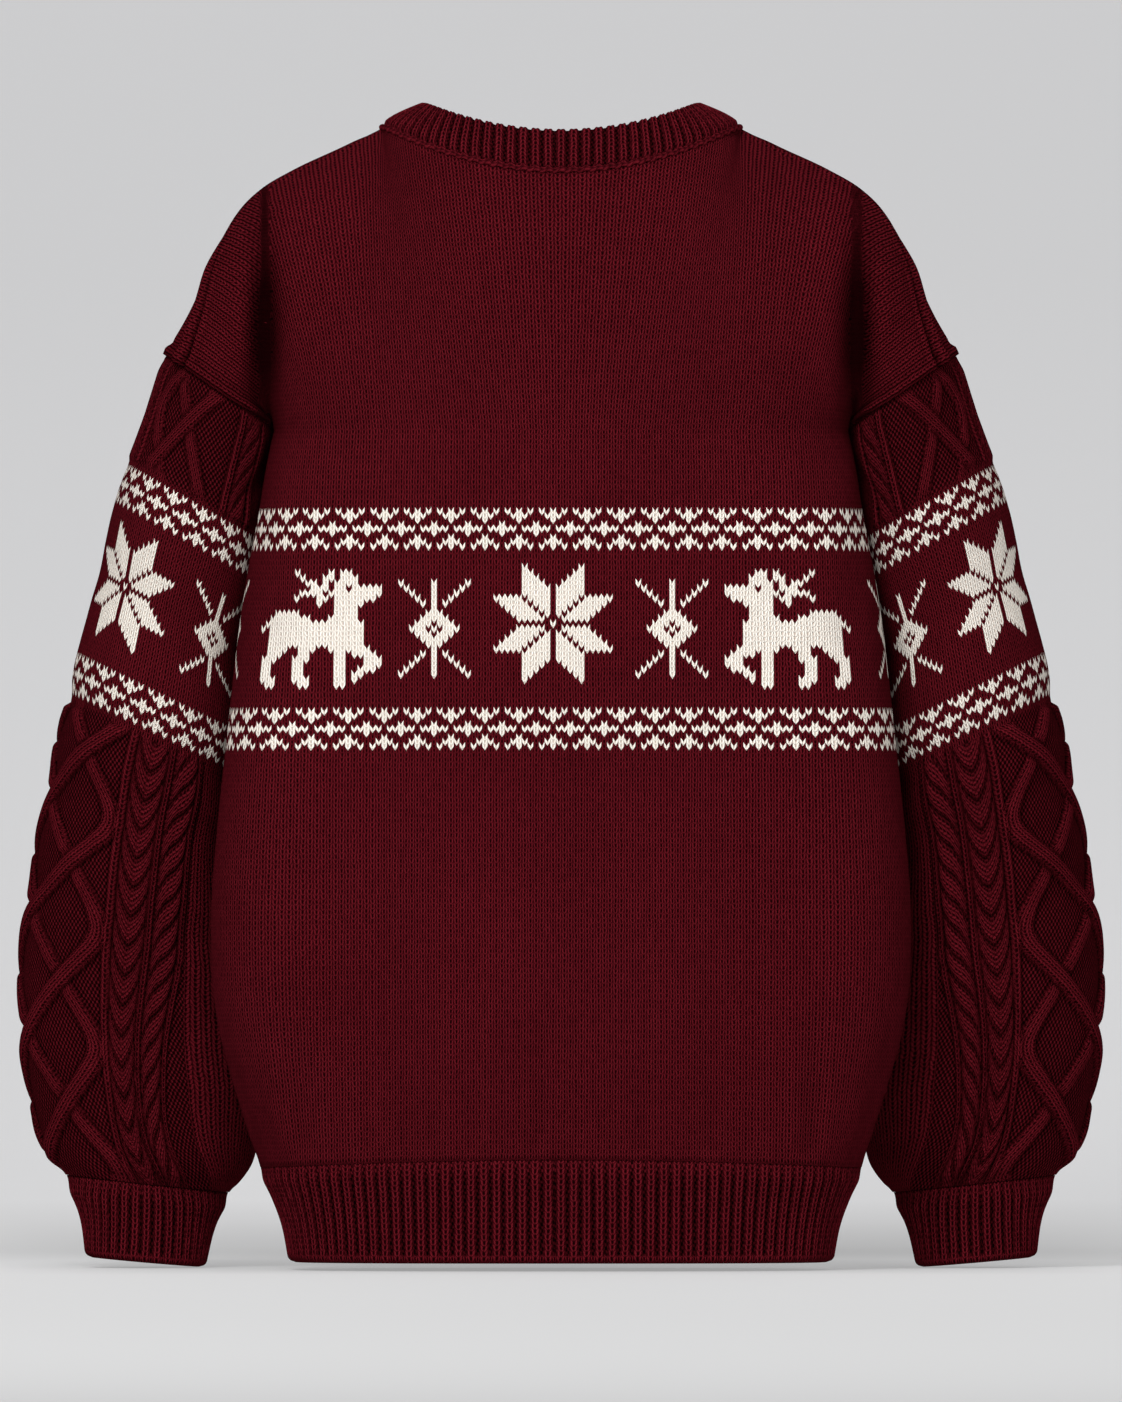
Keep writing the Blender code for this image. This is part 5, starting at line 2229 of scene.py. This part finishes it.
@dataclass(frozen=True)
class Lamp:
    """A square soft light."""

    name: str
    place: tuple[float, float, float]
    size: float
    watts: float
    target: tuple[float, float, float]

    def make(self) -> None:
        """Place the light and turn it to shine at its target."""
        data = bpy.data.lights.new(self.name, "AREA")
        data.shape = "SQUARE"
        data.size = self.size
        data.energy = self.watts
        lamp = placed(self.name, data)
        lamp.location = self.place
        way = np.asarray(self.target) - np.asarray(lamp.location)
        flat = math.hypot(way[0], way[1])
        lamp.rotation_euler = (math.atan2(flat, -way[2]), 0.0, math.atan2(-way[0], way[1]) + 0.0)


@dataclass(frozen=True)
class Studio:
    """Pale floor that turns up into a backdrop, soft lights and the camera.

    bend: radius, start and steps of the turn from the floor into the backdrop.
    shadow: how dark the painted shadow on the floor behind and under the sweater is.
    """

    floor_z: float = -0.6867
    half_width: float = 9.0
    floor_end: float = 30.0
    top: float = 9.0
    bend: tuple[float, float, int] = (2.5, -1.0, 16)
    camera_z: float = -0.3456
    distance: float = 24.0
    frame_height: float = 0.8412
    sensor: float = 36.0
    backdrop: Colour = (0.425, 0.425, 0.432)
    # painted light: the backdrop is lighter low down
    low_backdrop: Colour = (0.54, 0.54, 0.546)
    # painted light: the paper's glow, though it is no lamp
    floor_glow: Colour = (0.38, 0.38, 0.381)
    wall_glow: Colour = (0.262, 0.262, 0.264)
    shadow: float = 0.2
    air: Colour = (0.99, 0.99, 1.0)
    world: float = 0.32
    lamps: tuple[Lamp, ...] = (
        Lamp("key_softbox", (1.3, 4.4, 2.4), 1.6, 215.0, (0.0, 0.0, -0.3)),
        Lamp("fill_softbox", (-1.9, 5.2, 0.2), 2.2, 66.0, (0.0, 0.0, -0.35)),
        Lamp("top_softbox", (0.0, 0.9, 2.6), 1.8, 14.0, (0.0, 0.0, -0.3)),
    )

    def make(self) -> None:
        """Set up the whole studio."""
        self.sweep()
        for lamp in self.lamps:
            lamp.make()
        self.surroundings()
        self.camera()

    def sweep(self) -> None:
        """Build the floor and the backdrop in one sheet."""
        radius, start, steps = self.bend
        run = [(self.floor_end, 0.0), (2.0, 0.0), (start, 0.0)]
        for step in range(1, steps + 1):
            cos, sin = degrees(np.float64(step * 90 / steps))
            run.append((start - radius * float(sin), radius * (1 - float(cos))))
        run.append((start - radius, self.top))
        points = [(side * self.half_width, y, self.floor_z + z) for y, z in run for side in (-1, 1)]
        faces = [(2 * k, 2 * k + 1, 2 * k + 3, 2 * k + 2) for k in range(len(run) - 1)]
        mesh = bpy.data.meshes.new("studio_sweep")
        mesh.from_pydata(points, [], faces)
        mesh.shade_smooth()
        mesh.materials.append(self.paper())
        placed("studio_sweep", mesh)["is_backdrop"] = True

    def paper(self) -> bpy.types.Material:
        """The sheet's paper, with painted light fading with distance as a lit studio's does, and painted
        shadow.

        Returns:
            The material, which partly glows: painted light, though it is no lamp.
        """
        graph = Graph("studio_paper")
        where = graph.node("ShaderNodeTexCoord").outputs["Object"]
        grain = Value(graph, graph.noise(where, 3.0)[0])
        split = graph.node("ShaderNodeSeparateXYZ", None, {0: where}).outputs
        side, ahead, height = (Value(graph, part) for part in split)
        # painted light: the backdrop is lighter near the floor
        up = ((height - self.floor_z) * 1.6 + (grain - 0.5) * 0.04).clipped()
        wall = graph.mix(up, (*self.low_backdrop, 1), (*self.backdrop, 1))
        standing = ((height - self.floor_z) * 40.0).clipped()
        # painted light: the floor is lighter towards the camera and darker behind the sweater
        near_side = (ahead.most(0.0) * 0.35 + 1.0) ** -1.0 * 0.375
        bright = ((ahead + 0.75).most(0.0) * 0.14 + 0.27).least(near_side)
        grey = graph.node("ShaderNodeCombineColor", None, {0: bright, 1: bright, 2: bright * 1.01}).outputs[0]
        # painted shadow on the floor behind and under the sweater
        behind = self.shadow_patch(side * 2.7, (ahead + 0.8) * 1.9)
        shade = behind.most(self.shadow_patch(side * 2.9, (ahead + 0.2) * 2.4) * 0.8) * self.shadow
        # painted light: the paper glows though it is no lamp, and the painted shadow darkens the glow too
        paper, glow = (
            graph.mix(shade, colour, (0.0, 0.0, 0.0, 1))
            for colour in (
                graph.mix(standing, grey, wall),
                graph.mix(standing, (*self.floor_glow, 1), (*self.wall_glow, 1)),
            )
        )
        return graph.dress(
            {
                "Base Color": paper,
                "Emission Color": glow,
                "Emission Strength": 1.0,
                "Roughness": 0.9,
                "Specular IOR Level": 0.1,
            }
        )

    @staticmethod
    def shadow_patch(side: Value, ahead: Value) -> Value:
        """1 in the middle of a soft spot of painted shadow on the floor, and 0 where side or ahead is beyond
        1.
        """
        return (1.0 - side**4.0).most(0.0) * (1.0 - abs(ahead) ** 2.0).most(0.0)

    def surroundings(self) -> None:
        """Set the light of the air, and show colours as they are."""
        world = bpy.data.worlds.new("studio_air")
        world.use_nodes = True
        colour, strength = world.node_tree.nodes["Background"].inputs[:2]
        colour.default_value = (*self.air, 1)
        strength.default_value = self.world
        bpy.context.scene.world = world
        bpy.context.scene.view_settings.view_transform = "Standard"

    def camera(self) -> None:
        """Place the camera behind the sweater, on a long lens."""
        data = bpy.data.cameras.new("camera")
        data.sensor_fit = "VERTICAL"
        data.sensor_height = self.sensor
        data.lens = self.sensor * self.distance / self.frame_height
        data.clip_end = 100.0
        lens = placed("camera", data)
        lens.location = (0.0, self.distance, self.camera_z)
        lens.rotation_euler = (math.radians(90), 0.0, math.radians(180))
        bpy.context.scene.camera = lens


BACK_CREASES = (
    Crease((180.0, -70.0), (177.0, -168.0), 3.4, 8.0),
    Crease((-180.0, -72.0), (-177.0, -164.0), 3.2, 8.0),
    Crease((188.0, -196.0), (168.0, -330.0), 2.0, 12.0),
    Crease((-188.0, -196.0), (-170.0, -320.0), 2.2, 12.0),
)
FRONT_CREASES = (
    Crease((190.0, -150.0), (140.0, -205.0), 3.4, 10.0),
    Crease((-190.0, -150.0), (-144.0, -200.0), 3.4, 10.0),
)
LEFT_CREASES = (
    Crease((95.0, 20.0), (60.0, 60.0), 2.4, 9.0),
    Crease((-110.0, 250.0), (-170.0, 290.0), 2.6, 11.0),
    Crease((-120.0, 330.0), (-180.0, 360.0), 2.2, 10.0),
)
RIGHT_CREASES = (
    Crease((96.0, 24.0), (58.0, 66.0), 2.4, 9.0),
    Crease((-112.0, 262.0), (-172.0, 300.0), 2.6, 11.0),
    Crease((-118.0, 340.0), (-178.0, 372.0), 2.2, 10.0),
)


def main() -> None:
    """Build every piece and the studio."""
    logging.basicConfig(level=logging.INFO, format="%(message)s")
    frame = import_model()
    packed = [list(corner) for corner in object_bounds()]
    log.info("frame %s, packed %s", type(frame).__name__, packed)
    body, neck = Body(), Neck()
    wool = Wool().make()
    front = Panel("front_knit", -1, FRONT_CREASES, roll=(4.4, 7.0, 4.5))
    hem = RibPiece("hem_knit", 122, 62.0, hem_ring(body), tuck=0.4, emerge=12.0)
    cuffs = [
        RibPiece(f"{name}_cuff_knit", 46, 48.0, cuff_ring(), side, tuck=2.0, emerge=12.0)
        for name, side in (("left", 1), ("right", -1))
    ]
    collar = RibPiece(
        "collar_knit", 86, 33.0, collar_ring(neck), tuck=0.4, emerge=5.0, roll=2.5, edge=0.0, scallop=1.2
    )
    sheets = (
        (Panel("back_knit", 1, BACK_CREASES), "back_panel", (0.52, 0.66), "stretched"),
        (front, "front_panel", (0.52, 0.62), "stretched"),
        (Sleeve("left_sleeve_knit", 1, LEFT_CREASES), "sleeve_left", (0.40, 0.50), "stretched"),
        (Sleeve("right_sleeve_knit", -1, RIGHT_CREASES), "sleeve_right", (0.40, 0.50), "stretched"),
        (hem, "hem_rib", (0.86, 0.065), "gathered"),
        (collar, "collar", (0.52, 0.035), "stretched"),
        (cuffs[0], "cuff_left", (0.24, 0.05), "gathered"),
        (cuffs[1], "cuff_right", (0.24, 0.05), "gathered"),
    )
    for maker, node, flat, held in sheets:
        piece = maker.make(wool)
        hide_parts(node)
    SeamCord().make(wool)
    Studio().make()


if __name__ == "__main__":
    main()
